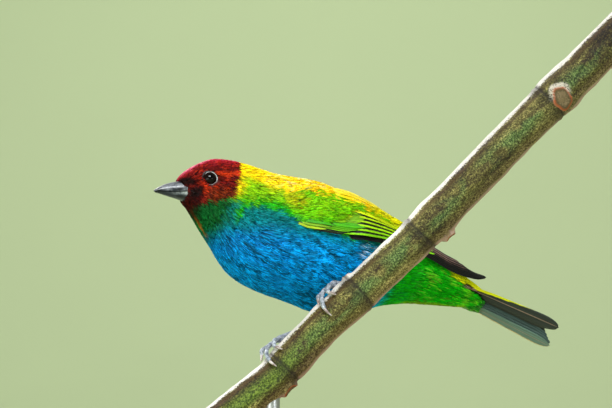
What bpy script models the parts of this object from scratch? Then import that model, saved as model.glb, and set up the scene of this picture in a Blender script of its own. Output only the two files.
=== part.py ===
"""A still, life-size bay-headed tanager gripping a cut length of branch on a plain stand.

Every size is in millimetres: two empties scale the pieces under them to metres. The
origin is the middle of the underside of the stand's base, +Z is up and +X runs toward the
tail side. The bird's trunk is modelled in its own frame, +x toward the tail and -y its
left side, and the empty called pose turns it into its pose. Branch, legs and stand hang
under the empty called bench, which turns nothing.
"""

import math

import bmesh
import bpy
import numpy as np
from mathutils import Matrix, Vector

MM = 0.001
GAP = 0.3

BIRD_PLACE = (-4.3, 5.0, 78.45)
BIRD_TURN = 18.0
BIRD_LEAN = 13.0
BIRD_SLOPE = 22.5
BIRD_DIP = 1.4

BRANCH_DEPTH = -20.0
BRANCH_ROUTE = (
    (-42.0, 19.2), (-36.9, 23.25), (-21.8, 34.95), (-6.75, 51.0), (2.25, 59.25),
    (19.2, 75.2), (50.8, 107.8), (63.7, 120.6), (74.4, 131.1), (84.9, 141.6),
)
BRANCH_STEPS = 30
BRANCH_THIN = 5.7
BRANCH_THICK = 6.2
BRANCH_KNOBS = (
    ("leaf_scar", 4.6, 4.0, 1.9, 1.1, 0.9), ("bud_scar", 26.4, 178.0, 2.9, 1.7, 1.5),
    ("cut_twig", 63.4, 108.0, 3.5, 2.9, 1.0), ("low_scar", -20.6, 176.0, 3.2, 2.2, 1.1),
)
KNOB_SIDES = 14
KNOB_DEPTH = 2.0
BRANCH_SWELLINGS = ((-16.0, 0.3, 3.0), (2.0, 0.35, 3.2), (27.0, 0.5, 3.0), (64.5, 0.5, 3.2))

BODY = (
    (-49.7, 15.9, -49.6, 13.6, 1.6), (-48.7, 18.7, -48.4, 12.6, 3.2),
    (-46.0, 21.1, -46.6, 10.4, 4.9), (-42.0, 23.3, -45.2, 8.6, 6.4),
    (-37.5, 24.9, -43.2, 4.9, 7.8), (-32.5, 24.9, -41.2, 1.0, 8.6),
    (-28.0, 24.0, -38.8, -2.9, 9.8), (-23.0, 22.4, -36.0, -7.5, 12.0),
    (-17.5, 20.5, -32.0, -11.8, 14.3), (-10.5, 19.3, -25.0, -15.7, 15.9),
    (-2.5, 17.8, -15.0, -19.2, 16.4), (6.5, 13.9, -6.0, -22.6, 16.0),
    (15.5, 9.0, 4.5, -23.9, 14.6), (23.5, 4.1, 14.2, -20.8, 12.0),
    (30.5, -1.6, 24.5, -19.8, 9.6), (36.5, -5.8, 32.5, -20.3, 7.6),
    (42.0, -10.4, 39.5, -20.9, 6.2), (46.8, -14.4, 45.5, -21.4, 4.8),
    (49.5, -17.0, 49.0, -21.0, 3.2),
)
BODY_SWAY = ((34.0, 0.0), (42.0, -0.6), (49.5, -1.7))
BODY_RINGS = 26
BODY_SIDES = 24
VENT_SLOPE = 0.45
BACK_NARROWING = 0.08
NAPE_CUT = ((-30.0, 24.2), (-39.8, -0.5))
SHOULDER_CUT = ((-20.5, 21.3), (-33.8, -9.0))

BILL = (
    (-44.6, 18.0, 11.2, 3.4), (-47.4, 17.9, 11.9, 3.1), (-49.3, 17.65, 12.4, 2.65),
    (-51.0, 17.4, 12.85, 2.2), (-53.0, 16.8, 13.4, 1.65), (-54.9, 15.9, 14.0, 1.0),
    (-56.2, 15.0, 14.4, 0.35),
)
BILL_RINGS = 11
BILL_SIDES = 14
MOUTH_LINE = ((-57.0, 14.6), (-44.6, 13.2))
MOUTH_SLIT = 0.2
MOUTH_HALF_WIDTH = 6.0
BILL_BLOCK = (26.0, 14.0, 8.0)
NOSTRIL = (-50.5, 2.3, 16.1)
NOSTRIL_RADIUS = 0.45

EYE = (-40.4, 5.3, 17.05)
EYE_RADIUS = 2.4
LID_RADIUS = 2.25
LID_THICKNESS = 0.42
LID_STEPS = 18
LID_SIDES = 6
LID_SLANT = 0.13
LID_OUT = 1.25

WING_LOW = (
    (-25.0, 4.4), (-15.2, -0.9), (-2.2, -3.6), (11.6, -5.4), (26.4, -8.3), (35.0, -11.6),
    (39.3, -13.0), (44.5, -13.7), (48.6, -13.9),
)
WING_HIGH = (
    (-25.0, 9.5), (-22.9, 11.6), (-8.6, 13.4), (2.9, 10.9), (9.9, 7.7), (18.0, 3.3),
    (28.5, -1.5), (35.8, -6.1), (41.4, -9.1), (47.5, -12.1), (48.8, -12.9),
)
WING_CARRIER = (
    (-25.0, 12.6, 3.0, 20.0), (-10.0, 16.2, 0.0, 20.0), (5.0, 16.6, -4.2, 18.6),
    (20.0, 13.6, -8.5, 16.0), (35.0, 8.2, -13.0, 13.0), (50.0, 5.6, -17.5, 11.0),
)
WING_REACH = (-24.5, 48.6)
VANE_THICKNESS = 0.5
SHINGLE = 0.75
ROOT_DEPTH = 2.6
ROOT_SHARE = 0.34
PAD_LENGTH = 37.0
PAD_DEPTH = 2.4
TIP_STEPS = (0.0, 0.25, -0.15, 0.1, -0.3)
WING_TIERS = (
    {"name": "primary", "count": 6, "root": (-6.0, 2.0), "tip": (48.2, 39.5),
     "root_share": (0.05, 0.24), "tip_share": (0.42, 0.72), "width": 3.6,
     "lift": (0.0, 0.45), "cells": (4, 1)},
    {"name": "secondary", "count": 5, "root": (-6.0, -4.0), "tip": (34.0, 28.0),
     "root_share": (0.12, 0.52), "tip_share": (0.5, 0.86), "width": 4.2,
     "lift": (0.75, 0.95), "cells": (4, 1)},
    {"name": "tertial", "count": 3, "root": (-4.0, -5.0), "tip": (25.5, 15.0),
     "root_share": (0.6, 0.84), "tip_share": (0.8, 0.9), "width": 5.2,
     "lift": (1.15, 1.3), "cells": (4, 1)},
    {"name": "primary_covert", "count": 2, "root": (-14.0, -12.0), "tip": (-5.0, -1.0),
     "root_share": (0.05, 0.14), "tip_share": (0.05, 0.16), "width": 3.2,
     "lift": (1.0, 1.2), "cells": (3, 1)},
    {"name": "greater_covert", "count": 6, "root": (-19.0, -5.0), "tip": (-8.0, 7.5),
     "root_share": (0.22, 0.92), "tip_share": (0.2, 0.86), "width": 4.0,
     "lift": (1.35, 1.7), "cells": (3, 1)},
    {"name": "median_covert", "count": 5, "root": (-22.0, -8.0), "tip": (-14.0, -0.5),
     "root_share": (0.25, 0.95), "tip_share": (0.28, 0.9), "width": 3.8,
     "lift": (1.75, 2.05), "cells": (3, 1)},
    {"name": "lesser_covert", "count": 4, "root": (-25.5, -14.0), "tip": (-18.5, -6.5),
     "root_share": (0.3, 0.92), "tip_share": (0.32, 0.9), "width": 4.4,
     "lift": (1.7, 1.95), "cells": (3, 1)},
    {"name": "alula", "count": 1, "root": (-18.0, -18.0), "tip": (-8.0, -8.0),
     "root_share": (0.12, 0.12), "tip_share": (0.1, 0.1), "width": 3.0,
     "lift": (1.6, 1.6), "cells": (3, 1)},
)

WING_THINNEST = 2.4
ROOT_FLARE = 1.5
SHARE_EASE = 1.3
TIP_SETTLE = 0.35
PAD_MIDDLE = 0.5
PAD_HALF = 0.44
PAD_TAPER = 0.9
PAD_LIFT = 1.1
PAD_SINK = 1.9
PAD_EDGE_POWER = 4
PAD_CELLS = (7, 4)

TAIL_ROOT = (43.0, -0.5, -15.2)
TAIL_SLOPE = 31.0
TAIL_BEND = 19.5
TAIL_TWIST = -28.5
TAIL_LENGTH = 33.0
TAIL_LENGTHS = (29.0, 29.6, 30.4, 31.3, 32.2, 32.5)
TAIL_VANE = 2.6
TAIL_VANE_ROOT = 0.62
TAIL_ROOT_FAN = (0.5, 0.55)
TAIL_TIP_FAN = (0.9, 0.78)
TAIL_STEP = 0.34
TAIL_SIDE_STEP = 0.16
TAIL_TENT = 0.26
TAIL_THICKNESS = VANE_THICKNESS + 0.05
TAIL_CELLS = (4, 1)
COVERT_ROWS = ((1.0, 12.5), (-2.2, 13.5))
COVERT_FAN = 1.15
COVERT_TAPER = 1.3
COVERT_VANE = 2.2
COVERT_THICKNESS = 0.9
COVERT_CELLS = (3, 1)

TOE_RADIUS = 0.68
CLAW_RADIUS = 0.5
CLAW_POINTS = 4
CLAW_TAPER = (1.0, 0.86, 0.56, 0.24)
TOE_PAD = 0.13
TOE_ROOT = 1.06
TOE_TAPER = 0.2
FOOT_JOINT = (0.0, -20.0, 1.2)
INSTEP = (1.0, -33.0, 1.9)
INSTEP_LENGTH = 3.4
INSTEP_RADII = (1.0, 1.0, 0.85)
TARSUS_RADIUS = 0.85
TARSUS_SWELL = (1.0, 0.92, 1.15)
ANKLE_ROOM = 0.3
THIGH_ROUTE = ((0.0, 4.6), (0.25, 4.3), (0.5, 3.4), (0.75, 2.3), (0.92, 1.5), (1.0, 1.2))
LEFT_STATION = 1.1
RIGHT_STATION = -14.9
LEFT_KNEE = (13.0, -6.5, -11.0)
RIGHT_KNEE = (2.0, 5.5, -13.5)
LEFT_ANKLE = (10.8, -6.0, 62.4)
RIGHT_ANKLE = (-8.0, -5.0, 52.7)
LEFT_TOES = {
    "middle": ((0.0, -20.0, 1.2), (-2.8, 0.0, 1.5), (-5.3, 30.0, 1.1), (-6.4, 50.0, 1.05),
               (-7.0, 66.0, 1.0), (-6.8, 88.0, 0.75)),
    "outer": ((0.0, -20.0, 1.2), (-2.8, -12.0, 1.5), (-5.4, 2.0, 1.4), (-6.5, 22.0, 1.05),
              (-7.6, 42.0, 0.75)),
    "inner": ((0.0, -20.0, 1.2), (-1.0, 2.0, 1.4), (-2.5, 22.0, 1.1), (-2.3, 38.0, 1.0),
              (-1.5, 54.0, 0.7)),
    "hind": ((0.0, -20.0, 1.2), (1.3, -42.0, 1.2), (1.9, -66.0, 1.05), (2.2, -88.0, 1.0),
             (2.3, -106.0, 0.7)),
}
RIGHT_TOES = {
    "middle": ((0.0, -20.0, 1.2), (-3.2, 0.0, 1.6), (-5.3, 18.0, 1.2), (-6.2, 38.0, 1.05),
               (-6.6, 58.0, 1.0), (-6.3, 76.0, 0.7)),
    "outer": ((0.0, -20.0, 1.2), (-2.9, -14.0, 1.7), (-5.6, -4.0, 2.3), (-7.2, 6.0, 1.2),
              (-8.3, 22.0, 0.7)),
    "inner": ((0.0, -20.0, 1.2), (-0.9, 3.0, 1.4), (-2.2, 24.0, 1.1), (-2.1, 40.0, 1.0),
              (-1.4, 56.0, 0.7)),
    "hind": ((0.0, -20.0, 1.2), (1.3, -42.0, 1.2), (1.9, -66.0, 1.05), (2.2, -88.0, 1.0),
             (2.3, -106.0, 0.7)),
}

BASE_SIZE = (120.0, 84.0, 8.0)
BASE_BEVEL = 1.2
ROD_X = -21.9
ROD_RADIUS = 2.4


def new_group(name):
    """Return a fresh collection linked into the scene."""
    group = bpy.data.collections.new(name)
    bpy.context.scene.collection.children.link(group)
    return group


def finish(name, colour, roughness, metallic=0.0):
    """Return a material with a Principled shader."""
    made = bpy.data.materials.new(name)
    made.use_nodes = True
    shader = made.node_tree.nodes["Principled BSDF"]
    shader.inputs["Base Color"].default_value = (*colour, 1.0)
    shader.inputs["Roughness"].default_value = roughness
    shader.inputs["Metallic"].default_value = metallic
    return made


def curve_through(rows, count):
    """Return count rows read off a smooth curve through the given rows."""
    table = np.array(rows, dtype=float)
    last = len(table) - 1
    result = []
    for place in np.linspace(0.0, last, count):
        index = min(int(place), last - 1)
        t = place - index
        before = table[max(index - 1, 0)]
        here = table[index]
        there = table[index + 1]
        after = table[min(index + 2, last)]
        bend = 2 * before - 5 * here + 4 * there - after
        swing = 3 * here - before - 3 * there + after
        result.append(0.5 * (2 * here + (there - before) * t + bend * t ** 2 + swing * t ** 3))
    return result


def read_off(rows, place, column=1):
    """Return the value of a column at a place along the first column."""
    table = np.array(rows, dtype=float)
    return float(np.interp(place, table[:, 0], table[:, column]))


def add_mesh(name, shape, group, material, parent, smooth=False):
    """Turn a bmesh in millimetres into an object under one of the scaling empties."""
    bmesh.ops.recalc_face_normals(shape, faces=shape.faces)
    mesh = bpy.data.meshes.new(name)
    shape.to_mesh(mesh)
    shape.free()
    piece = bpy.data.objects.new(name, mesh)
    group.objects.link(piece)
    mesh.materials.append(material)
    piece.parent = parent
    for face in mesh.polygons:
        face.use_smooth = smooth
    return piece


def loft(rings):
    """Return a closed bmesh through rings of points, its ends capped flat."""
    shape = bmesh.new()
    loops = [[shape.verts.new(point) for point in ring] for ring in rings]
    for before, after in zip(loops, loops[1:]):
        for index in range(len(before)):
            following = (index + 1) % len(before)
            shape.faces.new((before[index], before[following], after[following], after[index]))
    shape.faces.new(reversed(loops[0]))
    shape.faces.new(loops[-1])
    return shape


def settle(piece):
    """Apply the modifiers of an object."""
    bpy.context.view_layer.update()
    graph = bpy.context.evaluated_depsgraph_get()
    solid = bpy.data.meshes.new_from_object(piece.evaluated_get(graph))
    old = piece.data
    piece.modifiers.clear()
    piece.data = solid
    bpy.data.meshes.remove(old)
    solid.name = piece.name
    return piece


def keep_largest(piece):
    """Keep only the largest closed surface of an object."""
    shape = bmesh.new()
    shape.from_mesh(piece.data)
    waiting = set(shape.verts)
    bodies = []
    while waiting:
        stack = [waiting.pop()]
        body = set(stack)
        while stack:
            for edge in stack.pop().link_edges:
                for vert in edge.verts:
                    if vert not in body:
                        body.add(vert)
                        stack.append(vert)
        waiting -= body
        bodies.append(body)
    bodies.sort(key=len)
    loose = [vert for body in bodies[:-1] for vert in body]
    bmesh.ops.delete(shape, geom=loose, context="VERTS")
    shape.to_mesh(piece.data)
    shape.free()
    return piece


def boolean(piece, operation, operand, solver="EXACT"):
    """Join to or cut from an object another object or a whole collection, and apply it."""
    tool = piece.modifiers.new(operation.lower(), "BOOLEAN")
    tool.operation = operation
    tool.solver = solver
    if isinstance(operand, bpy.types.Collection):
        tool.operand_type = "COLLECTION"
        tool.collection = operand
    else:
        tool.object = operand
    return settle(piece)


def discard(*pieces):
    """Remove objects that a Boolean has used up."""
    for piece in pieces:
        mesh = piece.data
        bpy.data.objects.remove(piece)
        bpy.data.meshes.remove(mesh)


def fuse(piece, others, solver="EXACT"):
    """Join objects to a piece with one Boolean and remove them."""
    heap = new_group(piece.name + "_heap")
    for other in others:
        for group in other.users_collection:
            group.objects.unlink(other)
        heap.objects.link(other)
    boolean(piece, "UNION", heap, solver)
    discard(*others)
    bpy.data.collections.remove(heap)
    return keep_largest(piece)


def tube(name, points, radii, group, material, parent, detail=2):
    """Return a round tube through points, its ends capped."""
    line = bpy.data.curves.new(name, "CURVE")
    line.dimensions = "3D"
    line.bevel_depth = 1.0
    line.bevel_resolution = detail
    line.use_fill_caps = True
    spline = line.splines.new("POLY")
    spline.points.add(len(points) - 1)
    for slot, point, radius in zip(spline.points, points, radii):
        slot.co = (*point, 1.0)
        slot.radius = radius
    draft = bpy.data.objects.new(name + "_line", line)
    group.objects.link(draft)
    bpy.context.view_layer.update()
    graph = bpy.context.evaluated_depsgraph_get()
    mesh = bpy.data.meshes.new_from_object(draft.evaluated_get(graph))
    place = draft.matrix_world.copy()
    bpy.data.objects.remove(draft)
    bpy.data.curves.remove(line)
    shape = bmesh.new()
    shape.from_mesh(mesh)
    bmesh.ops.remove_doubles(shape, verts=shape.verts, dist=0.0001)
    bmesh.ops.recalc_face_normals(shape, faces=shape.faces)
    shape.to_mesh(mesh)
    shape.free()
    mesh.name = name
    mesh.materials.clear()
    mesh.materials.append(material)
    mesh.shade_smooth()
    piece = bpy.data.objects.new(name, mesh)
    group.objects.link(piece)
    piece.parent = parent
    piece.matrix_basis = place
    return piece


def body_rings(offset=0.0):
    """Return the cross sections of the trunk and head, grown outward by an offset."""
    rings = []
    stations = curve_through(BODY, BODY_RINGS)
    for number, (top_x, top_z, low_x, low_z, half_width) in enumerate(stations):
        middle = Vector(((top_x + low_x) / 2, 0.0, (top_z + low_z) / 2))
        upward = Vector((top_x, 0.0, top_z)) - middle
        middle.y = read_off(BODY_SWAY, middle.x)
        upward *= 1.0 + offset / upward.length
        if number == 0:
            middle.x -= offset
        if number == len(stations) - 1:
            middle += Vector((math.cos(VENT_SLOPE), 0.0, -math.sin(VENT_SLOPE))) * offset
        ring = []
        for side in range(BODY_SIDES):
            angle = 2 * math.pi * side / BODY_SIDES
            flank = (half_width + offset) * math.sin(angle) * (1 - BACK_NARROWING * math.cos(angle))
            ring.append(middle + upward * math.cos(angle) + Vector((0.0, flank, 0.0)))
        rings.append(ring)
    return rings


def slice_off(shape, line, shift, keep_tailward):
    """Cut a body bmesh along a cross plane, keep one side of it and close the cut."""
    top, low = (Vector((x, 0.0, z)) for x, z in line)
    along = (top - low).normalized()
    normal = Vector((along.z, 0.0, -along.x))
    bmesh.ops.bisect_plane(
        shape,
        geom=[*shape.verts, *shape.edges, *shape.faces],
        plane_co=top + normal * shift,
        plane_no=normal,
        clear_inner=keep_tailward,
        clear_outer=not keep_tailward,
    )
    rim = [edge for edge in shape.edges if edge.is_boundary]
    bmesh.ops.contextual_create(shape, geom=rim)


def bill_rings(offset=0.0):
    """Return the cross sections of the closed bill, grown outward by an offset."""
    rings = []
    stations = curve_through(BILL, BILL_RINGS)
    for number, (x, top_z, low_z, half_width) in enumerate(stations):
        reach = 0.0
        if number == 0:
            reach = offset
        if number == len(stations) - 1:
            reach = -offset
        middle = (top_z + low_z) / 2
        half_height = (top_z - low_z) / 2 + offset
        ring = []
        for side in range(BILL_SIDES):
            angle = 2 * math.pi * side / BILL_SIDES
            ring.append(Vector((
                x + reach,
                (half_width + offset) * math.sin(angle),
                middle + half_height * math.cos(angle),
            )))
        rings.append(ring)
    return rings


def slab_along(name, line, half_width, thickness, group, material, parent):
    """Return a thin flat box that follows a line in the bird's middle plane."""
    start, end = (Vector((x, 0.0, z)) for x, z in line)
    along = end - start
    angle = math.atan2(along.z, along.x)
    shape = bmesh.new()
    bmesh.ops.create_cube(
        shape,
        size=1.0,
        matrix=Matrix.Translation((start + end) / 2)
        @ Matrix.Rotation(-angle, 4, "Y")
        @ Matrix.Diagonal((along.length, 2 * half_width, thickness, 1.0)),
    )
    return add_mesh(name, shape, group, material, parent)


def ball(name, place, radius, group, material, parent, sides=16):
    """Return a sphere."""
    shape = bmesh.new()
    bmesh.ops.create_uvsphere(
        shape, u_segments=sides, v_segments=sides * 5 // 8, radius=radius,
        matrix=Matrix.Translation(place) @ Matrix.Rotation(math.radians(90), 4, "X"),
    )
    return add_mesh(name, shape, group, material, parent, smooth=True)


def lid_ring(name, place, group, material, parent):
    """Return the thin fleshy ring round an eye."""
    x, y, z = place
    side = math.copysign(1.0, y)
    rings = []
    for step in range(LID_STEPS):
        turn = 2 * math.pi * step / LID_STEPS
        outward = Vector((math.cos(turn), 0.0, math.sin(turn)))
        ring = []
        for corner in range(LID_SIDES):
            roll = 2 * math.pi * corner / LID_SIDES
            reach = LID_RADIUS + LID_THICKNESS * math.cos(roll)
            lift = LID_THICKNESS * math.sin(roll)
            slant = LID_SLANT * outward.x * LID_RADIUS
            ring.append(Vector((x, y + side * (LID_OUT + lift + slant), z)) + outward * reach)
        rings.append(ring)
    shape = bmesh.new()
    loops = [[shape.verts.new(point) for point in ring] for ring in rings]
    for before, after in zip(loops, [*loops[1:], loops[0]]):
        for corner in range(LID_SIDES):
            following = (corner + 1) % LID_SIDES
            shape.faces.new((before[corner], before[following], after[following], after[corner]))
    return add_mesh(name, shape, group, material, parent)


def body_piece(name, cuts, group, material, parent, offset=0.0):
    """Return one length of the body, cut out of the whole loft by cross planes."""
    shape = loft(body_rings(offset))
    for line, shift, keep_tailward in cuts:
        slice_off(shape, line, shift, keep_tailward)
    return add_mesh(name, shape, group, material, parent, smooth=True)


def carrier(x, z, side, lift):
    """Return the point at a height over the flank that a folded wing lies on."""
    half_width, middle, half_height = (read_off(WING_CARRIER, x, n) for n in (1, 2, 3))
    rise = max(-0.97, min(0.97, (z - middle) / half_height))
    spread = math.sqrt(1.0 - rise * rise)
    normal = Vector((0.0, spread / half_width, rise / half_height)).normalized()
    point = Vector((x, half_width * spread, middle + half_height * rise)) + normal * lift
    point.y *= side
    return point


def vane_outline(along):
    """Return the half width of a vane, as a share, at a share of its length."""
    shoulder = 0.72 + 0.28 * min(1.0, along / 0.3)
    tip = math.sqrt(max(0.02, 1.0 - max(0.0, (along - 0.7) / 0.3) ** 2))
    return shoulder * tip


def vane(name, place, cells, thickness, group, material, parent):
    """Return one closed feather vane, bent by a function of its length and width shares."""
    shape = bmesh.new()
    bmesh.ops.create_grid(shape, x_segments=cells[0], y_segments=cells[1], size=0.5)
    for vert in shape.verts:
        along = 1.0 - (0.5 - vert.co.x) ** 1.5
        vert.co = place(along, 2.0 * vert.co.y)
    bmesh.ops.triangulate(shape, faces=shape.faces)
    bmesh.ops.recalc_face_normals(shape, faces=shape.faces)
    bmesh.ops.solidify(shape, geom=shape.faces, thickness=thickness)
    return add_mesh(name, shape, group, material, parent)


def wing_place(feather, side):
    """Return the function that lays one wing feather over the flank."""
    roots, tips, shares, width, lifts = feather

    def place(along, across):
        x = roots + (tips - roots) * along
        low = read_off(WING_LOW, x)
        height = max(WING_THINNEST, read_off(WING_HIGH, x) - low)
        share = shares[0] + (shares[1] - shares[0]) * along ** SHARE_EASE
        half = width / 2 * vane_outline(along)
        z = low + height * share + across * half
        hidden, shown = lifts
        lift = shown + (hidden - shown) * (across + 1) / 2
        sunk = ROOT_DEPTH * max(0.0, 1.0 - along / ROOT_SHARE) ** ROOT_FLARE
        return carrier(x, z, side, lift - TIP_SETTLE * along - sunk)

    return place


def pad_place(side):
    """Return the function that lays the folded arm under the feathers of a wing."""
    def place(along, across):
        x = WING_REACH[0] + PAD_LENGTH * along
        low = read_off(WING_LOW, x)
        height = read_off(WING_HIGH, x) - low
        share = PAD_MIDDLE + PAD_HALF * across * math.sqrt(vane_outline(PAD_TAPER * along))
        edge = max(abs(across), abs(2.0 * along - 1.0))
        lift = PAD_LIFT - PAD_SINK * edge ** PAD_EDGE_POWER
        return carrier(x, low + height * share, side, lift)

    return place


def build_wing(name, side, trunk_cutter, group, material, parent):
    """Return a folded wing: an arm pad with shingled tiers of feathers over it."""
    pad = vane(name, pad_place(side), PAD_CELLS, PAD_DEPTH, group, material, parent)
    feathers = []
    for tier in WING_TIERS:
        count = tier["count"]
        for number in range(count):
            share = number / max(1, count - 1)
            spot = [
                tier[key][0] + (tier[key][1] - tier[key][0]) * share
                for key in ("root", "tip", "root_share", "tip_share", "lift")
            ]
            feather = (
                spot[0], spot[1] + TIP_STEPS[number % len(TIP_STEPS)],
                (spot[2], spot[3]), tier["width"],
                (spot[4], spot[4] + SHINGLE + 0.013 * number),
            )
            feathers.append(vane(
                f"{name}_{tier['name']}_{number}", wing_place(feather, side), tier["cells"],
                VANE_THICKNESS, group, material, parent,
            ))
    fuse(pad, feathers, "MANIFOLD")
    boolean(pad, "DIFFERENCE", trunk_cutter, "MANIFOLD")
    return keep_largest(pad)


def tail_point(along, across, lift):
    """Return a point of the tail from its length, width and height over its middle plane."""
    slope = math.radians(TAIL_SLOPE)
    sway = Matrix.Rotation(math.radians(-TAIL_BEND), 3, "Z")
    direction = sway @ Vector((math.cos(slope), 0.0, -math.sin(slope)))
    turn = Matrix.Rotation(math.radians(TAIL_TWIST), 3, direction)
    sideways = turn @ sway @ Vector((0.0, 1.0, 0.0))
    normal = direction.cross(sideways)
    return Vector(TAIL_ROOT) + direction * along + sideways * across + normal * lift


def tail_place(side, number, length, start=0.0, width=TAIL_VANE, lift=0.0):
    """Return the function that lays one tail feather into the fan."""
    root = side * (TAIL_ROOT_FAN[0] + TAIL_ROOT_FAN[1] * number)
    tip = side * (TAIL_TIP_FAN[0] + TAIL_TIP_FAN[1] * number)
    depth = lift - TAIL_STEP * number - (TAIL_SIDE_STEP if side < 0 else 0.0)

    def place(along, across):
        half = width * (TAIL_VANE_ROOT + (1.0 - TAIL_VANE_ROOT) * along) * vane_outline(along)
        middle = root + (tip - root) * (start + (length - start) * along) / TAIL_LENGTH
        tent = TAIL_TENT * across * side
        return tail_point(start + (length - start) * along, middle + across * half, depth + tent)

    return place


def build_tail(name, trunk_cutter, group, material, parent):
    """Return the closed tail: six pairs of feathers and the coverts over their roots."""
    feathers = []
    for number, length in enumerate(TAIL_LENGTHS):
        for side in (1, -1):
            feathers.append(vane(
                f"{name}_{number}_{side + 1}", tail_place(side, number, length), TAIL_CELLS,
                TAIL_THICKNESS, group, material, parent,
            ))
    for number in range(2):
        for side in (1, -1):
            for over, reach in COVERT_ROWS:
                length = reach - COVERT_TAPER * number
                feathers.append(vane(
                    f"{name}_covert_{number}_{side + 1}_{over > 0}",
                    tail_place(side, COVERT_FAN * number, length, 0.0, COVERT_VANE, over),
                    COVERT_CELLS, COVERT_THICKNESS, group, material, parent,
                ))
    tail = feathers[0]
    tail.name = name
    fuse(tail, feathers[1:], "MANIFOLD")
    boolean(tail, "DIFFERENCE", trunk_cutter, "MANIFOLD")
    return keep_largest(tail)


def branch_axis(x):
    """Return the point on the branch's axis at a place across the photo."""
    return Vector((x, BRANCH_DEPTH, read_off(BRANCH_ROUTE, x)))


def branch_radius(x):
    """Return the radius of the branch, with its swellings."""
    first, last = BRANCH_ROUTE[0][0], BRANCH_ROUTE[-1][0]
    radius = BRANCH_THIN + (BRANCH_THICK - BRANCH_THIN) * (x - first) / (last - first)
    for place, height, spread in BRANCH_SWELLINGS:
        radius += height * math.exp(-(((x - place) / spread) ** 2))
    return radius


def branch_tangent(x):
    """Return the direction of the branch toward its upper end."""
    return (branch_axis(x + 4.0) - branch_axis(x - 4.0)).normalized()


def grip(station, along, angle, lift):
    """Return a point over the bark, by length along it and angle from its upper edge."""
    tangent = branch_tangent(station)
    x = station + along * tangent.x
    upward = Vector((-tangent.z, 0.0, tangent.x))
    turn = math.radians(angle)
    outward = upward * math.cos(turn) + Vector((0.0, -1.0, 0.0)) * math.sin(turn)
    return branch_axis(x) + outward * (branch_radius(x) + lift)


def build_foot(side, station, toes, ankle, group, skin, horn, parent):
    """Return a foot clasping the branch, its claws and its shank."""
    pieces = []
    for toe, route in toes.items():
        knuckles = curve_through(route, 2 * len(route) + 2)
        points = [grip(station, *knuckle) for knuckle in knuckles]
        count = len(points)
        split = count - CLAW_POINTS
        swell = [1.0 + TOE_PAD * math.cos(2 * math.pi * n / 3) for n in range(split + 1)]
        radii = [
            TOE_RADIUS * (TOE_ROOT - TOE_TAPER * n / count) * swell[n] for n in range(split + 1)
        ]
        digit = tube(f"toe_{side}_{toe}", points[:split + 1], radii, group, skin, parent, detail=1)
        pieces.append(digit)
        start = points[split] + (points[split + 1] - points[split]).normalized() * GAP
        nail = [start, *points[split + 1:]]
        taper = [CLAW_RADIUS * share for share in CLAW_TAPER]
        tube(f"claw_{side}_{toe}", nail, taper[:len(nail)], group, horn, parent, detail=1)
    joint = grip(station, *FOOT_JOINT)
    instep = grip(station, *INSTEP)
    shank_end = Vector(ankle)
    lower = instep + (shank_end - instep).normalized() * INSTEP_LENGTH
    heel = [joint, instep, lower]
    pieces.append(tube(f"instep_{side}", heel, INSTEP_RADII, group, skin, parent))
    foot = pieces[0]
    foot.name = f"foot_{side}"
    fuse(foot, pieces[1:])
    top = lower + (shank_end - lower).normalized() * GAP
    middle = (top + shank_end) / 2
    shank = tube(
        f"tarsus_{side}", [top, middle, shank_end],
        [TARSUS_RADIUS * share for share in TARSUS_SWELL], group, skin, parent,
    )
    return foot, shank


def build_thigh(side, knee, ankle, pose, trunk_cutter, group, material, parent):
    """Return the feathered upper leg between the trunk and the ankle."""
    hip = (pose.matrix_world @ Vector(knee)) / MM
    end = Vector(ankle)
    reach = end - hip
    clear = TARSUS_RADIUS * TARSUS_SWELL[-1] + GAP + ANKLE_ROOM
    stop = end - reach.normalized() * clear
    points = [hip + (stop - hip) * share for share, radius in THIGH_ROUTE]
    radii = [radius for share, radius in THIGH_ROUTE]
    thigh = tube(f"thigh_{side}", points, radii, group, material, parent, detail=3)
    boolean(thigh, "DIFFERENCE", trunk_cutter)
    return keep_largest(thigh)


def build_branch(name, group, material, parent, grow=0.0):
    """Return the cut length of branch with its scars and knobs, or a grown copy to cut with."""
    first, last = BRANCH_ROUTE[0][0], BRANCH_ROUTE[-1][0]
    steps = BRANCH_STEPS - 1
    places = [first + (last - first) * n / steps for n in range(BRANCH_STEPS)]
    points = [branch_axis(x) for x in places]
    radii = [branch_radius(x) + grow for x in places]
    branch = tube(name, points, radii, group, material, parent, detail=5)
    knobs = []
    for word, station, angle, low_radius, high_radius, height in BRANCH_KNOBS:
        root = grip(station, 0.0, angle, -KNOB_DEPTH)
        tip = grip(station, 0.0, angle, height + grow)
        outward = tip - root
        shape = bmesh.new()
        bmesh.ops.create_cone(
            shape, cap_ends=True, cap_tris=False, segments=KNOB_SIDES, depth=outward.length,
            radius1=low_radius + grow, radius2=high_radius + grow,
            matrix=Matrix.Translation((root + tip) / 2)
            @ outward.to_track_quat("Z", "Y").to_matrix().to_4x4(),
        )
        knobs.append(add_mesh(f"{name}_{word}", shape, group, material, parent))
    return fuse(branch, knobs, "MANIFOLD")


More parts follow.
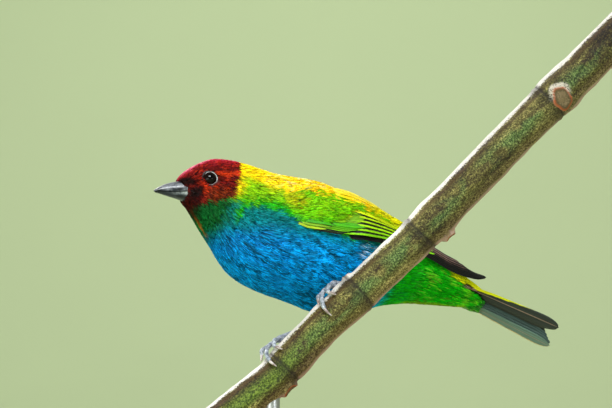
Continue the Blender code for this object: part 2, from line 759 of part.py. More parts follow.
def build_stand(group, wood, steel, perch_cutter, parent):
    """Return the base and the rod that hold the branch up."""
    shape = bmesh.new()
    bmesh.ops.create_cone(
        shape, cap_ends=True, cap_tris=False, segments=44, radius1=0.5, radius2=0.5, depth=1.0,
    )
    bmesh.ops.scale(shape, vec=BASE_SIZE, verts=shape.verts)
    bmesh.ops.translate(shape, vec=(0.0, 0.0, BASE_SIZE[2] / 2), verts=shape.verts)
    rim = [
        edge for edge in shape.edges
        if all(abs(vert.co.z - BASE_SIZE[2]) < 0.01 for vert in edge.verts)
    ]
    bmesh.ops.bevel(
        shape, geom=rim, offset=BASE_BEVEL, segments=2, profile=0.5, affect="EDGES",
    )
    add_mesh("stand_base", shape, group, wood, parent)
    top = branch_axis(ROD_X).z
    shape = bmesh.new()
    low = BASE_SIZE[2] + GAP
    bmesh.ops.create_cone(
        shape, cap_ends=True, cap_tris=False, segments=24, radius1=ROD_RADIUS,
        radius2=ROD_RADIUS, depth=top - low,
        matrix=Matrix.Translation((ROD_X, BRANCH_DEPTH, (top + low) / 2)),
    )
    rod = add_mesh("stand_rod", shape, group, steel, parent)
    boolean(rod, "DIFFERENCE", perch_cutter)
    keep_largest(rod)


def main():
    """Build the bird, the branch it grips and the stand."""
    for piece in list(bpy.data.objects):
        bpy.data.objects.remove(piece)
    bird = new_group("bay_headed_tanager")
    cutters = new_group("cutters")

    bay = finish("bay_feathers", (0.27, 0.03, 0.02), 0.7)
    gold = finish("golden_feathers", (0.72, 0.55, 0.04), 0.7)
    blue = finish("blue_feathers", (0.03, 0.3, 0.62), 0.65)
    green = finish("green_feathers", (0.16, 0.42, 0.05), 0.65)
    slate = finish("tail_feathers", (0.12, 0.17, 0.15), 0.6)
    horn = finish("bill_horn", (0.1, 0.11, 0.13), 0.35)
    claw = finish("claw_horn", (0.4, 0.33, 0.3), 0.4)
    scale = finish("leg_skin", (0.3, 0.33, 0.37), 0.55)
    iris = finish("eye_gloss", (0.02, 0.01, 0.01), 0.08)
    bark = finish("branch_bark", (0.28, 0.3, 0.14), 0.85)
    wood = finish("base_wood", (0.3, 0.2, 0.12), 0.5)
    steel = finish("rod_steel", (0.5, 0.5, 0.5), 0.35, 1.0)

    pose = bpy.data.objects.new("pose", None)
    bird.objects.link(pose)
    slope = math.radians(BIRD_SLOPE)
    spine = Vector((math.cos(slope), 0.0, -math.sin(slope)))
    pose.matrix_world = (
        Matrix.Translation(Vector(BIRD_PLACE) * MM)
        @ Matrix.Rotation(math.radians(BIRD_TURN), 4, "Z")
        @ Matrix.Rotation(math.radians(-BIRD_LEAN), 4, spine)
        @ Matrix.Rotation(math.radians(-BIRD_DIP), 4, "Y")
        @ Matrix.Scale(MM, 4)
    )
    bench = bpy.data.objects.new("bench", None)
    bird.objects.link(bench)
    bench.scale = (MM, MM, MM)
    bpy.context.view_layer.update()

    trunk = body_piece("trunk_cutter", (), cutters, blue, pose, GAP)
    half = GAP / 2
    head = body_piece("head", ((NAPE_CUT, -half, False),), bird, bay, pose)
    body_piece("neck", ((NAPE_CUT, half, True), (SHOULDER_CUT, -half, False)), bird, gold, pose)
    body_piece("torso", ((SHOULDER_CUT, half, True),), bird, blue, pose)

    bill_room = add_mesh("bill_room", loft(bill_rings(GAP)), cutters, horn, pose)
    slit = slab_along("mouth_slit", MOUTH_LINE, MOUTH_HALF_WIDTH, MOUTH_SLIT, cutters, horn, pose)
    lids = []
    for side, word in ((-1, "left"), (1, "right")):
        x, y, z = EYE
        place = (x, y * side, z)
        lids.append(lid_ring(f"lid_{word}", place, bird, bay, pose))
    fuse(head, lids)
    for side, word in ((-1, "left"), (1, "right")):
        x, y, z = EYE
        place = (x, y * side, z)
        ball(f"eye_{word}", place, EYE_RADIUS, bird, iris, pose, sides=14)
        socket = ball(f"socket_{word}", place, EYE_RADIUS + GAP, cutters, bay, pose, sides=16)
        boolean(head, "DIFFERENCE", socket, "MANIFOLD")
    boolean(head, "DIFFERENCE", bill_room, "MANIFOLD")
    boolean(head, "DIFFERENCE", slit, "MANIFOLD")
    keep_largest(head)

    upper = add_mesh("bill_upper", loft(bill_rings()), bird, horn, pose)
    lower = add_mesh("bill_lower", loft(bill_rings()), bird, horn, pose)
    start, end = MOUTH_LINE
    pitch = math.atan2(end[1] - start[1], end[0] - start[0])
    length, width, reach = BILL_BLOCK
    for piece, sign in ((upper, -1), (lower, 1)):
        shape = bmesh.new()
        bmesh.ops.create_cube(
            shape,
            size=1.0,
            matrix=Matrix.Translation(((start[0] + end[0]) / 2, 0.0, (start[1] + end[1]) / 2))
            @ Matrix.Rotation(-pitch, 4, "Y")
            @ Matrix.Translation((0.0, 0.0, sign * (reach - MOUTH_SLIT) / 2))
            @ Matrix.Diagonal((length, width, reach, 1.0)),
        )
        block = add_mesh(piece.name + "_block", shape, cutters, horn, pose)
        boolean(piece, "DIFFERENCE", block)
        keep_largest(piece)
    for side in (-1, 1):
        x, y, z = NOSTRIL
        pit = ball(f"nostril_{side + 1}", (x, y * side, z), NOSTRIL_RADIUS, cutters, horn, pose, 10)
        boolean(upper, "DIFFERENCE", pit)

    build_wing("wing_left", -1, trunk, bird, green, pose)
    build_wing("wing_right", 1, trunk, bird, green, pose)
    build_tail("tail", trunk, bird, slate, pose)

    for side, station, toes, knee, ankle in (
        ("left", LEFT_STATION, LEFT_TOES, LEFT_KNEE, LEFT_ANKLE),
        ("right", RIGHT_STATION, RIGHT_TOES, RIGHT_KNEE, RIGHT_ANKLE),
    ):
        build_foot(side, station, toes, ankle, bird, scale, claw, bench)
        build_thigh(side, knee, ankle, pose, trunk, bird, blue, bench)

    build_branch("perch", bird, bark, bench)
    room = build_branch("perch_room", cutters, bark, bench, GAP)
    build_stand(bird, wood, steel, room, bench)

    for piece in cutters.objects:
        piece.hide_render = True
        piece.display_type = "WIRE"
    cutters.hide_render = True


main()
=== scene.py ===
"""Looks of a still, life-size bay-headed tanager gripping a cut branch on a plain stand.

The bird is described in its own frame, in millimetres: +x runs to the tail, -y is its left
side and +z its back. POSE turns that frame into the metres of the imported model. Tones are
screen colours of 0 to 255; arrays of places have one row for each.
"""

import logging
import math
from dataclasses import dataclass
from enum import Enum
from itertools import product
from operator import add
from typing import Callable, Iterator

import bmesh
import bpy
import numpy as np
from mathutils import Matrix, Vector


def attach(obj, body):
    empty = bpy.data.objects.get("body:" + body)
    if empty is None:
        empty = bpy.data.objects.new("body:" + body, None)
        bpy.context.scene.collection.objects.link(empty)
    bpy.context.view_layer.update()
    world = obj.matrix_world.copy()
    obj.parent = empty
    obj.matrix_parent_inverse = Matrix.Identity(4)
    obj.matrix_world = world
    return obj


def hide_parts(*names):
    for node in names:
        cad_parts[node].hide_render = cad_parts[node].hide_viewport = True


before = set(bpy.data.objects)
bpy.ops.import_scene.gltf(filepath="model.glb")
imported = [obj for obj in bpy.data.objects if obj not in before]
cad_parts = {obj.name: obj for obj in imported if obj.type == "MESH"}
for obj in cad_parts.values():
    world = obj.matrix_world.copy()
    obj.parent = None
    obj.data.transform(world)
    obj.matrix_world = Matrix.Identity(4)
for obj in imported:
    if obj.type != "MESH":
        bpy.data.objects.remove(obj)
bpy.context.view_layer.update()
LOG = logging.getLogger("tanager")
MM = 0.001
FULL_TURN = 2 * math.pi
SIDES = ((-1, "left"), (1, "right"))
Array = np.ndarray
Material = bpy.types.Material
Piece = bpy.types.Object
Tone = tuple[int, int, int]
Point = tuple[float, float, float]
Pair = tuple[float, float]
Table = tuple[tuple[float, ...], ...]
Placer = Callable[[Array, Array, Array], Array]


def linear(red: int, green: int, blue: int) -> Point:
    """Turn a tone into the linear values a shader takes.

    Args:
        red: Its red, 0 to 255.
        green: Its green.
        blue: Its blue.

    Returns:
        Linear red, green and blue.
    """
    return tuple(
        value / 12.92 if value <= 0.04045 else ((value + 0.055) / 1.055) ** 2.4
        for value in (red / 255, green / 255, blue / 255))


def ramp(low: float, high: float, values: Array) -> Array:
    """Rise smoothly from 0 where the values are low to 1 where they are high."""
    share = np.clip((values - low) / (high - low), 0.0, 1.0)
    return share * share * (3.0 - 2.0 * share)


def between(pair: Pair, share: float | Array) -> float | Array:
    """Read a pair at a share of the way from its first number to its second."""
    return pair[0] + (pair[1] - pair[0]) * share


def blend(pair: tuple[Tone, Tone], share: float) -> Array:
    """Mix two tones to a linear colour."""
    return between(np.array([linear(*tone) for tone in pair]), share)


def along_table(table: Table, places: Array, column: int = 1) -> Array:
    """Read a column of a table at places along its first column."""
    rows = np.array(table)
    return np.interp(places, rows[:, 0], rows[:, column])


def through(rows: Table | Array, places: Array) -> Array:
    """Read a smooth curve through rows.

    Args:
        rows: Rows of numbers the curve passes through.
        places: Where to read, counted in rows.

    Returns:
        One row for each place.
    """
    table = np.array(rows, dtype=float)
    last = len(table) - 1
    places = np.clip(places, 0.0, last)
    index = np.minimum(places.astype(int), last - 1)
    step = (places - index)[:, None]
    before, here, there, after = (
        table[np.clip(index + shift, 0, last)] for shift in (-1, 0, 1, 2))
    bend = 2 * before - 5 * here + 4 * there - after
    swing = 3 * here - before - 3 * there + after
    return 0.5 * (2 * here + (there - before) * step + bend * step ** 2 + swing * step ** 3)


def adder(operation: str) -> Callable[..., "Wire"]:
    """Return a method for Wire that adds one Math node.

    Args:
        operation: The node's operation.

    Returns:
        The method.
    """
    def method(self: "Wire", other: "Wire | float" = 0.0) -> "Wire":
        """Add the node and return its wire."""
        return self.dye.node("Math", {"operation": operation}, i0=self, i1=other)

    return method


@dataclass(frozen=True)
class Wire:
    """A shader socket on which arithmetic adds the Math nodes it needs."""

    dye: "Dye"
    socket: bpy.types.NodeSocket
    __add__ = adder("ADD")
    __sub__ = adder("SUBTRACT")
    __mul__ = adder("MULTIPLY")
    wave = adder("SINE")
    size = adder("ABSOLUTE")


class Dye:
    """A material under construction: its node tree and its Principled shader."""

    def __init__(self, name: str) -> None:
        """Start a material.

        Args:
            name: Its name.
        """
        self.material = bpy.data.materials.new(name)
        self.material.use_nodes = True
        self.tree = self.material.node_tree
        self.shader = self.tree.nodes["Principled BSDF"]

    def feed(self, node: bpy.types.Node, **sockets: object) -> None:
        """Fill a node's inputs.

        Args:
            node: The node.
            sockets: Values or wires by name, with _ for spaces, or by i and a number.
        """
        for key, value in sockets.items():
            numbered = key[0] == "i" and key[1:].isdigit()
            slot = node.inputs[int(key[1:]) if numbered else key.replace("_", " ")]
            if isinstance(value, Wire):
                self.tree.links.new(value.socket, slot)
            else:
                slot.default_value = value

    def node(self, kind: str, settings: dict[str, str] | None = None, output: int | str = 0,
             **sockets: object) -> Wire:
        """Add a shader node.

        Args:
            kind: Its type.
            settings: Attributes that are set first.
            output: The output wanted.
            sockets: Its inputs, as feed takes them.

        Returns:
            The wire of the output.
        """
        made = self.tree.nodes.new("ShaderNode" + kind)
        for key, value in (settings or {}).items():
            setattr(made, key, value)
        self.feed(made, **sockets)
        return Wire(self, made.outputs[output])

    def place(self, scale: Point = (1.0, 1.0, 1.0), turn: Point = (0.0, 0.0, 0.0)) -> Wire:
        """Return the object's own coordinates, turned and then stretched.

        Args:
            scale: How far each axis is stretched.
            turn: Angles of the turn.

        Returns:
            The wire of the coordinates.
        """
        spot = self.node("TexCoord", output="Object")
        turned = self.node("Mapping", Vector=spot, Rotation=turn)
        return self.node("Mapping", Vector=turned, Scale=scale)

    def noise(self, scale: float, where: Wire | None = None, detail: float = 4.0,
              rough: float = 0.55) -> Wire:
        """Return a noise in 0 to 1; its scale counts per metre."""
        return self.node("TexNoise", Vector=where or self.place(), Scale=scale, Detail=detail,
                         Roughness=rough)

    def stops(self, wire: Wire, *stops: tuple[float, int, int, int]) -> Wire:
        """Turn a number into colours by places and the tones at them.

        Args:
            wire: The number.
            stops: A place and a tone's numbers for each.

        Returns:
            The wire of the colour.
        """
        ramped = self.node("ValToRGB", Fac=wire)
        elements = ramped.socket.node.color_ramp.elements
        while len(elements) < len(stops):
            elements.new(0.5)
        for element, (place, *tone) in zip(elements, stops):
            element.position = place
            element.color = (*linear(*tone), 1.0)
        return ramped

    def band(self, wire: Wire, low: float, high: float) -> Wire:
        """Rise smoothly from 0 at low to 1 at high."""
        return self.node("MapRange", {"interpolation_type": "SMOOTHSTEP"}, Value=wire, i1=low,
                         i2=high)

    def mix(self, share: Wire, first: Wire | Tone, second: Wire | Tone) -> Wire:
        """Mix two colours.

        Args:
            share: Share of the second colour.
            first: The first colour.
            second: The second colour.

        Returns:
            The wire of the mix.
        """
        one, two = (tone if isinstance(tone, Wire) else (*linear(*tone), 1.0)
                    for tone in (first, second))
        return self.node("Mix", {"data_type": "RGBA"}, output=2, i0=share, i6=one, i7=two)

    def over(self, colour: Wire, *layers: tuple[Wire, float, Wire | Tone]) -> Wire:
        """Lay layers over a colour, each a share, a strength and a tone.

        Args:
            colour: The colour below.
            layers: Share, strength and tone of each.

        Returns:
            The wire of the result.
        """
        for share, strength, tone in layers:
            colour = self.mix(share * strength, colour, tone)
        return colour

    def shade(self, colour: Wire | Point, factor: Wire) -> Wire:
        """Multiply a colour by a number."""
        return self.node("VectorMath", {"operation": "SCALE"}, i0=colour, Scale=factor)

    def attribute(self, name: str, output: str = "Color") -> Wire:
        """Read a mesh attribute."""
        return self.node("Attribute", {"attribute_name": name}, output=output)

    def parts(self, vector: Wire) -> list[Wire]:
        """Split a vector."""
        node = self.node("SeparateXYZ", Vector=vector).socket.node
        return [Wire(self, slot) for slot in node.outputs]

    def tuft(self) -> list[Wire]:
        """Read the three parts of the tuft attribute."""
        return self.parts(self.attribute("tuft", "Vector"))

    def finish(self, height: Wire, strength: float, distance: float, **sockets: object) -> None:
        """Drive the shader's sockets and bump its surface by a height in metres."""
        bump = self.node("Bump", Height=height, Strength=strength, Distance=distance)
        self.feed(self.shader, Normal=bump, **sockets)


@dataclass(frozen=True)
class Finish:
    """How a surface looks, made into a material of its name."""

    name: str

    def make(self) -> Material:
        """Return the material.

        Returns:
            The finished material.
        """
        dye = Dye(self.name)
        self.fill(dye)
        return dye.material

    def fill(self, dye: Dye) -> None:
        """Fill the material."""
        raise NotImplementedError


@dataclass(frozen=True)
class CoatFinish(Finish):
    """Plumage, coloured by the dye attribute; tuft holds along, across and a chance."""

    def fill(self, dye: Dye) -> None:
        """Darken tufts at their roots and streak them with barbs.

        Args:
            dye: The material under construction.
        """
        along, across, chance = dye.tuft()
        grain, patch = dye.noise(1500.0, detail=2.0), dye.noise(260.0, detail=3.0)
        barbs = (across * 34.0 + along * 9.0 + chance * 20.0).wave() * 0.5 + 0.5
        light = along * 0.62 + chance * 1.02 + grain * 0.16 + barbs * 0.14
        dye.finish(barbs + grain * 0.6, 0.35, 0.00008, Roughness=0.58, Specular_IOR_Level=0.08,
                   Base_Color=dye.shade(dye.attribute("dye"), light * (patch * 0.44 + 0.78)))


@dataclass(frozen=True)
class VaneFinish(Finish):
    """Flight feathers: an inner web, an edged outer web and a shaft."""

    shaft: Tone = (29, 27, 25)

    def fill(self, dye: Dye) -> None:
        """Edge the web by the rim attribute and streak it along.

        Args:
            dye: The material under construction.
        """
        along, across, chance = dye.tuft()
        off = (across - 0.5).size()
        barbs = (along * 150.0 + off * 70.0).wave() * 0.5 + 0.5
        wander = dye.noise(700.0, detail=2.0)
        where = dye.node("CombineXYZ", X=across * 16.0, Y=along * 2.2, Z=chance * 50.0)
        streak = dye.band(dye.noise(1.0, where, 3.0), 0.36, 0.62)
        rim = dye.band(across - (dye.attribute("rim", "Fac") + wander * 0.12 - 0.06), 0.05, -0.05)
        shaft = dye.band(off, 0.05, 0.02)
        colour = dye.over(dye.mix(rim, dye.attribute("web"), dye.attribute("dye")),
                          (shaft, 0.6, self.shaft))
        light = barbs * 0.14 + chance * 0.2 + wander * 0.2 + streak * 0.42 + 0.5
        dye.finish(barbs + shaft * 2.0, 0.4, 0.00009, Roughness=0.46, Sheen_Weight=0.03,
                   Specular_IOR_Level=0.22, Base_Color=dye.shade(colour, light))


@dataclass(frozen=True)
class BillFinish(Finish):
    """Bluish black horn with silvery sides; tuft holds along, rise and ridge."""

    def fill(self, dye: Dye) -> None:
        """Draw silvery sides, then a dark ridge line, painted shade under the chin, nostril and
        seam.

        Args:
            dye: The material under construction.
        """
        along, rise, ridge = dye.tuft()
        streak = dye.noise(700.0, dye.place((0.3, 1.0, 1.0), (0.0, 0.0, math.radians(-18))), 3.0)
        cloud = dye.noise(420.0, detail=3.0)
        uneven = cloud - 0.5
        side = dye.band(along + rise * 0.35 + uneven * 0.4, 0.95, 0.5)
        horn = dye.stops(cloud, (0.4, 66, 74, 94), (0.6, 206, 212, 228))
        line = dye.band((rise - 0.62).size() + (streak - 0.5) * 0.2, 0.26, 0.08)
        pit = dye.band(((along - 0.5) * 2.4).size() + (rise - 0.5).size() * 2.0, 0.5, 0.16)
        colour = dye.over(
            dye.mix(side * dye.band(streak, 0.28, 0.5), (18, 21, 30), horn),
            (line * dye.band(ridge, 0.0, 0.3), 0.75, (34, 42, 58)),
            # Painted shade: darker horn along the underside of each half.
            (dye.band(ridge + uneven * 0.6, -0.3, -0.85), 0.75, (46, 52, 66)),
            (pit, 0.7, (12, 12, 16)),
            (dye.band(rise, 0.12, 0.02), 0.7, (20, 22, 28)))
        dye.finish(streak + cloud * 0.4, 0.25, 0.00006, Specular_IOR_Level=0.3,
                   Base_Color=dye.shade(colour, cloud * 0.35 + 0.7), Roughness=streak * 0.2 + 0.22)


@dataclass(frozen=True)
class EyeFinish(Finish):
    """Wet eye: a black pupil in a very dark brown iris."""

    centre: Point
    axis: Point

    def fill(self, dye: Dye) -> None:
        """Part pupil and iris by their place along the eye's axis.

        Args:
            dye: The material under construction.
        """
        away = dye.node("VectorMath", {"operation": "SUBTRACT"}, i1=self.centre,
                        i0=dye.node("TexCoord", output="Object"))
        facing = dye.node("VectorMath", {"operation": "DOT_PRODUCT"}, output="Value", i0=away,
                          i1=self.axis)
        iris = dye.stops(dye.noise(2600.0, detail=2.0), (0.3, 8, 3, 3), (0.8, 26, 10, 6))
        colour = dye.mix(dye.band(facing, 0.00218, 0.00196), (3, 2, 3), iris)
        dye.feed(dye.shader, Roughness=0.02, Specular_IOR_Level=0.12, Base_Color=colour)


@dataclass(frozen=True)
class RingFinish(Finish):
    """Silvery beads of the eye ring over dark skin."""

    def fill(self, dye: Dye) -> None:
        """Part beads and skin by the tuft attribute.

        Args:
            dye: The material under construction.
        """
        broken = dye.noise(900.0, detail=2.0)
        pale = dye.stops(broken, (0.36, 40, 34, 36), (0.5, 196, 200, 206))
        colour = dye.mix(dye.band(dye.tuft()[0], 0.05, 0.12), (26, 10, 8), pale)
        dye.finish(broken, 0.4, 0.00005, Specular_IOR_Level=0.16, Roughness=0.5, Base_Color=colour)


@dataclass(frozen=True)
class SkinFinish(Finish):
    """Scaly or bare skin and claw horn, mottled between two tones."""

    dark: Tone
    pale: Tone
    scutes: float
    roughness: float

    def fill(self, dye: Dye) -> None:
        """Mottle the skin and crease it between its scales.

        Args:
            dye: The material under construction.
        """
        cloud = dye.noise(900.0)
        cells = dye.node("TexVoronoi", {"feature": "DISTANCE_TO_EDGE"}, Vector=dye.place(),
                         Scale=1500.0)
        creases = dye.band(cells, 0.1, 0.02) * self.scutes
        colour = dye.stops(cloud, (0.32, *self.dark), (0.68, *self.pale))
        dye.finish(cloud * 0.5 - creases, 0.6, 0.00008, Specular_IOR_Level=0.45,
                   Base_Color=dye.mix(creases, colour, self.dark),
                   Roughness=cloud * 0.25 + self.roughness)


@dataclass(frozen=True)
class BarkFinish(Finish):
    """Smooth young bark in moss green and brown, with a painted highlight along its upper edge."""

    lean: float = 43.5

    def fill(self, dye: Dye) -> None:
        """Mottle the bark by height on the branch with a painted highlight along its upper edge,
        then lay dots, painted shade in the creases, and scars with painted highlights on their
        upper rims.

        Args:
            dye: The material under construction.
        """
        turn = (0.0, math.radians(self.lean), 0.0)

        def noise(scale: float, squash: float, detail: float, rough: float) -> Wire:
            """Return a noise stretched along the branch."""
            return dye.noise(scale, dye.place((squash, 1.0, 1.0), turn), detail, rough)

        blotch, fibres = noise(62.0, 0.45, 5.0, 0.62), noise(560.0, 0.14, 5.0, 0.6)
        speck, grit = noise(1900.0, 1.0, 3.0, 0.7), noise(4200.0, 1.0, 2.0, 0.7)
        cloud = noise(120.0, 0.5, 3.0, 0.6)
        pits = dye.node("TexVoronoi", Vector=dye.place((0.6, 1.0, 1.0), turn), Scale=520.0)
        blots, fibre, specks, grits = (wire - 0.5 for wire in (blotch, fibres, speck, grit))
        height = dye.attribute("edge", "Fac") + blots * 0.3 + specks * 0.3
        along = dye.parts(dye.place())[0]
        lower, upper = dye.band(along, -0.002, -0.02), dye.band(along, 0.008, 0.05)
        moss = dye.over(
            dye.stops(speck + grits * 0.5, (0.4, 40, 58, 24), (0.52, 84, 116, 56),
                      (0.66, 140, 160, 96)),
            (lower, 0.7, dye.stops(speck, (0.4, 52, 70, 12), (0.6, 120, 144, 36))))
        middle = dye.band(height.size(), 0.62, 0.1) * dye.band(cloud + lower * 0.16, 0.42, 0.56)
        brown = dye.band((height - 0.68).size(), 0.16, 0.02) * dye.band(cloud, 0.7, 0.4)
        streaks = dye.band(fibres + specks * 0.6, 0.42, 0.34) * dye.band(cloud, 0.5, 0.42)
        dots = dye.band(pits + speck * 0.3, 0.36, 0.2)
        scar = dye.attribute("scar", "Fac")
        wound = dye.stops(
            scar + specks * 0.5 + fibre * 0.5 + (cloud - 0.5) * 0.5, (0.2, 166, 118, 90),
            (0.4, 190, 96, 54), (0.66, 126, 84, 52), (0.85, 92, 82, 56), (1.0, 132, 112, 82))
        colour = dye.over(
            dye.stops(blotch + fibre * 0.4 + specks * 0.7 + grits * 0.4, (0.34, 30, 20, 8),
                      (0.45, 74, 62, 26), (0.56, 106, 102, 50), (0.7, 184, 170, 104)),
            (middle, 0.85, moss),
            (brown, 0.8, (70, 46, 18)),
            (streaks, 0.85, (44, 28, 12)),
            # Painted highlight: near white along the branch's upper edge.
            (dye.band(height, 0.79, 0.88), 0.95, (232, 226, 222)),
            (dye.band(height, -0.5, -0.8), 0.6,
             dye.stops(speck, (0.4, 66, 46, 22), (0.62, 170, 146, 104))),
            (dye.band(height, -0.88, -0.98), 0.85, (206, 168, 158)),
            (dots, 0.35, (46, 34, 20)),
            # Painted shade in and beside the grooves of the ring scars.
            (dye.attribute("crease", "Fac") * (speck * 0.3 + 0.75), 1.0, (26, 18, 8)),
            (dye.band(scar + fibre * 0.5 + blots * 0.8, 0.12, 0.36), 1.0, wound),
            # Painted highlight: near white on the upper side of the scars' rims.
            (dye.attribute("pale", "Fac") * dye.band(speck, 0.36, 0.5), 0.85, (224, 214, 202)))
        light = speck * 0.72 + grit * 0.4 - upper * 0.18 + 0.36
        dye.finish(fibres * 0.9 + speck * 0.5 + blotch * 0.7 - dots * 0.6, 0.75, 0.0004,
                   Specular_IOR_Level=0.25, Base_Color=dye.shade(colour, light),
                   Roughness=fibres * 0.25 + 0.7)


@dataclass(frozen=True)
class WoodFinish(Finish):
    """Oiled wood of the display base, its grain along X."""

    def fill(self, dye: Dye) -> None:
        """Draw grain, rings and pores.

        Args:
            dye: The material under construction.
        """
        grain, rings, pores = (
            dye.noise(scale, dye.place((squash, 1.0, 1.0)), detail, rough)
            for scale, squash, detail, rough in (
                (260.0, 0.07, 6.0, 0.6), (46.0, 0.16, 3.0, 0.55), (1500.0, 0.05, 2.0, 0.55)))
        colour = dye.stops(grain * 0.5 + rings * 0.5, (0.32, 92, 62, 38), (0.5, 128, 90, 58),
                           (0.68, 156, 116, 78))
        dye.finish(grain * 0.6 + pores * 0.4, 0.35, 0.0002, Specular_IOR_Level=0.35,
                   Base_Color=dye.shade(colour, pores * 0.25 + 0.85), Roughness=grain * 0.25 + 0.42)


@dataclass(frozen=True)
class SteelFinish(Finish):
    """Brushed steel of the stand's rod."""

    def fill(self, dye: Dye) -> None:
        """Draw lines along Z.

        Args:
            dye: The material under construction.
        """
        lines = dye.noise(2600.0, dye.place((1.0, 1.0, 0.03)), 3.0)
        colour = dye.stops(lines, (0.3, 150, 152, 155), (0.7, 190, 191, 193))
        dye.finish(lines, 0.15, 0.00005, Metallic=1.0, Base_Color=colour,
                   Roughness=lines * 0.2 + 0.26)


@dataclass(frozen=True)
class PaperFinish(Finish):
    """Plain pale paper of floor and backdrop."""

    tone: Tone

    def fill(self, dye: Dye) -> None:
        """Cloud the paper a little."""
        colour = dye.shade(linear(*self.tone), dye.noise(3.0, detail=2.0) * 0.06 + 0.97)
        dye.feed(dye.shader, Roughness=0.9, Specular_IOR_Level=0.1, Base_Color=colour)


@dataclass(frozen=True)
class Pose:
    """Where the bird stands and how it leans; sizes in millimetres and degrees."""

    place: Point = (-4.3, 5.0, 78.45)
    turn: float = 18.0
    lean: float = 13.0
    slope: float = 22.5
    dip: float = 1.4

    def matrix(self) -> Matrix:
        """Return the matrix from the bird's millimetres to the model's metres.

        Returns:
            The matrix.
        """
        slope = math.radians(self.slope)
        spine = Vector((math.cos(slope), 0.0, -math.sin(slope)))
        return (
            Matrix.Translation(Vector(self.place) * MM)
            @ Matrix.Rotation(math.radians(self.turn), 4, "Z")
            @ Matrix.Rotation(math.radians(-self.lean), 4, spine)
            @ Matrix.Rotation(math.radians(-self.dip), 4, "Y")
            @ Matrix.Scale(MM, 4)
        )

    def carry(self, points: Array) -> Array:
        """Move points of the bird's frame into the model's metres."""
        matrix = np.array(self.matrix())
        return points @ matrix[:3, :3].T + matrix[:3, 3]

    def bring(self, points: Array) -> Array:
        """Move points of the model's millimetres into the bird's frame."""
        matrix = np.array(self.matrix().inverted())
        return (points * MM) @ matrix[:3, :3].T + matrix[:3, 3]


POSE = Pose()


class Surface:
    """A smooth round form, read by a place along it and an angle around it."""

    length: float = 1.0
    step: float = 0.02

    def point(self, along: Array, around: Array) -> Array:
        """Return points of the form in the bird's frame.

        Args:
            along: Places from 0 to the form's length.
            around: Angles in radians.

        Returns:
            One point for each pair.
        """
        raise NotImplementedError

    def inner(self, along: Array, around: Array) -> Array:
        """Return points on the far side of the form, which its normals point away from."""
        return self.point(along, around + math.pi)

    def frame_at(self, along: Array, around: Array) -> tuple[Array, ...]:
        """Measure the form at places.

        Args:
            along: Places along the form.
            around: Angles around it.

        Returns:
            Points, outward normals, and millimetres per unit along and around.
        """
        step = self.step
        low, high = (np.clip(along + shift, 0.0, self.length) for shift in (-step, step))
        lengthwise = (self.point(high, around) - self.point(low, around)) / (high - low)[:, None]
        sidewise = (self.point(along, around + step) - self.point(along, around - step)) / (
            2 * step)
        normal = np.cross(sidewise, lengthwise)
        normal /= np.linalg.norm(normal, axis=1)[:, None] + 1e-9
        here = self.point(along, around)
        normal *= np.sign(np.sum(normal * (here - self.inner(along, around)), axis=1))[:, None]
        return here, normal, np.linalg.norm(lengthwise, axis=1), np.linalg.norm(sidewise, axis=1)

    def raised(self, along: Array, around: Array, lift: float | Array) -> Array:
        """Return points at a height over the form."""
        here, normal, _, _ = self.frame_at(along, around)
        return here + normal * np.broadcast_to(lift, len(here))[:, None]


class Trunk(Surface):
    """Head, neck and body: cross sections from the face to the tail's root.

    A row of sections holds x and z of its top, x and z of its bottom, and half its width.
    """

    sections: Table = (
        (-49.7, 15.9, -49.6, 13.6, 1.6), (-48.7, 18.7, -48.4, 12.6, 3.2),
        (-46.0, 21.1, -46.6, 10.4, 4.9), (-42.0, 23.3, -45.2, 8.6, 6.4),
        (-37.5, 24.9, -43.2, 4.9, 7.8), (-32.5, 24.9, -41.2, 1.0, 8.6),
        (-28.0, 24.0, -38.8, -2.9, 9.8), (-23.0, 22.4, -36.0, -7.5, 12.0),
        (-17.5, 20.5, -32.0, -11.8, 14.3), (-10.5, 19.3, -25.0, -15.7, 15.9),
        (-2.5, 17.8, -15.0, -19.2, 16.4), (6.5, 13.9, -6.0, -22.6, 16.0),
        (15.5, 9.0, 4.5, -23.9, 14.6), (23.5, 4.1, 14.2, -20.8, 12.0),
        (30.5, -1.6, 24.5, -19.8, 9.6), (36.5, -5.8, 32.5, -20.3, 7.6),
        (42.0, -10.4, 39.5, -20.9, 6.2), (46.8, -14.4, 45.5, -21.4, 4.8),
        (49.5, -17.0, 49.0, -21.0, 3.2),
    )
    sway: Table = ((34.0, 0.0), (42.0, -0.6), (49.5, -1.7))
    back_narrowing: float = 0.08
    length = 18.0

    def point(self, along: Array, around: Array) -> Array:
        """Return points at places in cross sections and angles from the back to the right.

        Args:
            along: Places along the form.
            around: Angles around it.

        Returns:
            One point for each place, in millimetres.
        """
        top_x, top_z, low_x, low_z, half = through(self.sections, along).T
        turn, flank = np.cos(around), np.sin(around)
        middle = (top_x + low_x) / 2
        return np.stack((
            middle + (top_x - low_x) / 2 * turn,
            along_table(self.sway, middle) + half * flank * (1 - self.back_narrowing * turn),
            (top_z + low_z) / 2 + (top_z - low_z) / 2 * turn), axis=1)


@dataclass
class Thigh(Surface):
    """The feathered upper leg, from inside the belly to near the ankle."""

    knee: Point
    ankle: Point
    girth: Table = ((0.0, 4.6), (0.25, 4.3), (0.5, 3.4), (0.75, 2.3), (0.92, 1.5), (1.0, 1.2))
    stop: float = 1.6
    length: float = 1.0

    def point(self, along: Array, around: Array) -> Array:
        """Return points at shares of the length from the knee.

        Args:
            along: Places along the form.
            around: Angles around it.

        Returns:
            One point for each place, in millimetres.
        """
        line = POSE.bring(np.array(self.ankle)) - self.knee
        reach = np.linalg.norm(line)
        line /= reach
        side = np.cross(line, (0.0, 1.0, 0.0))
        side /= np.linalg.norm(side)
        ring = np.outer(np.cos(around), side) + np.outer(np.sin(around), np.cross(line, side))
        spot = self.knee + np.outer((reach - self.stop) * along, line)
        return spot + ring * along_table(self.girth, along)[:, None]


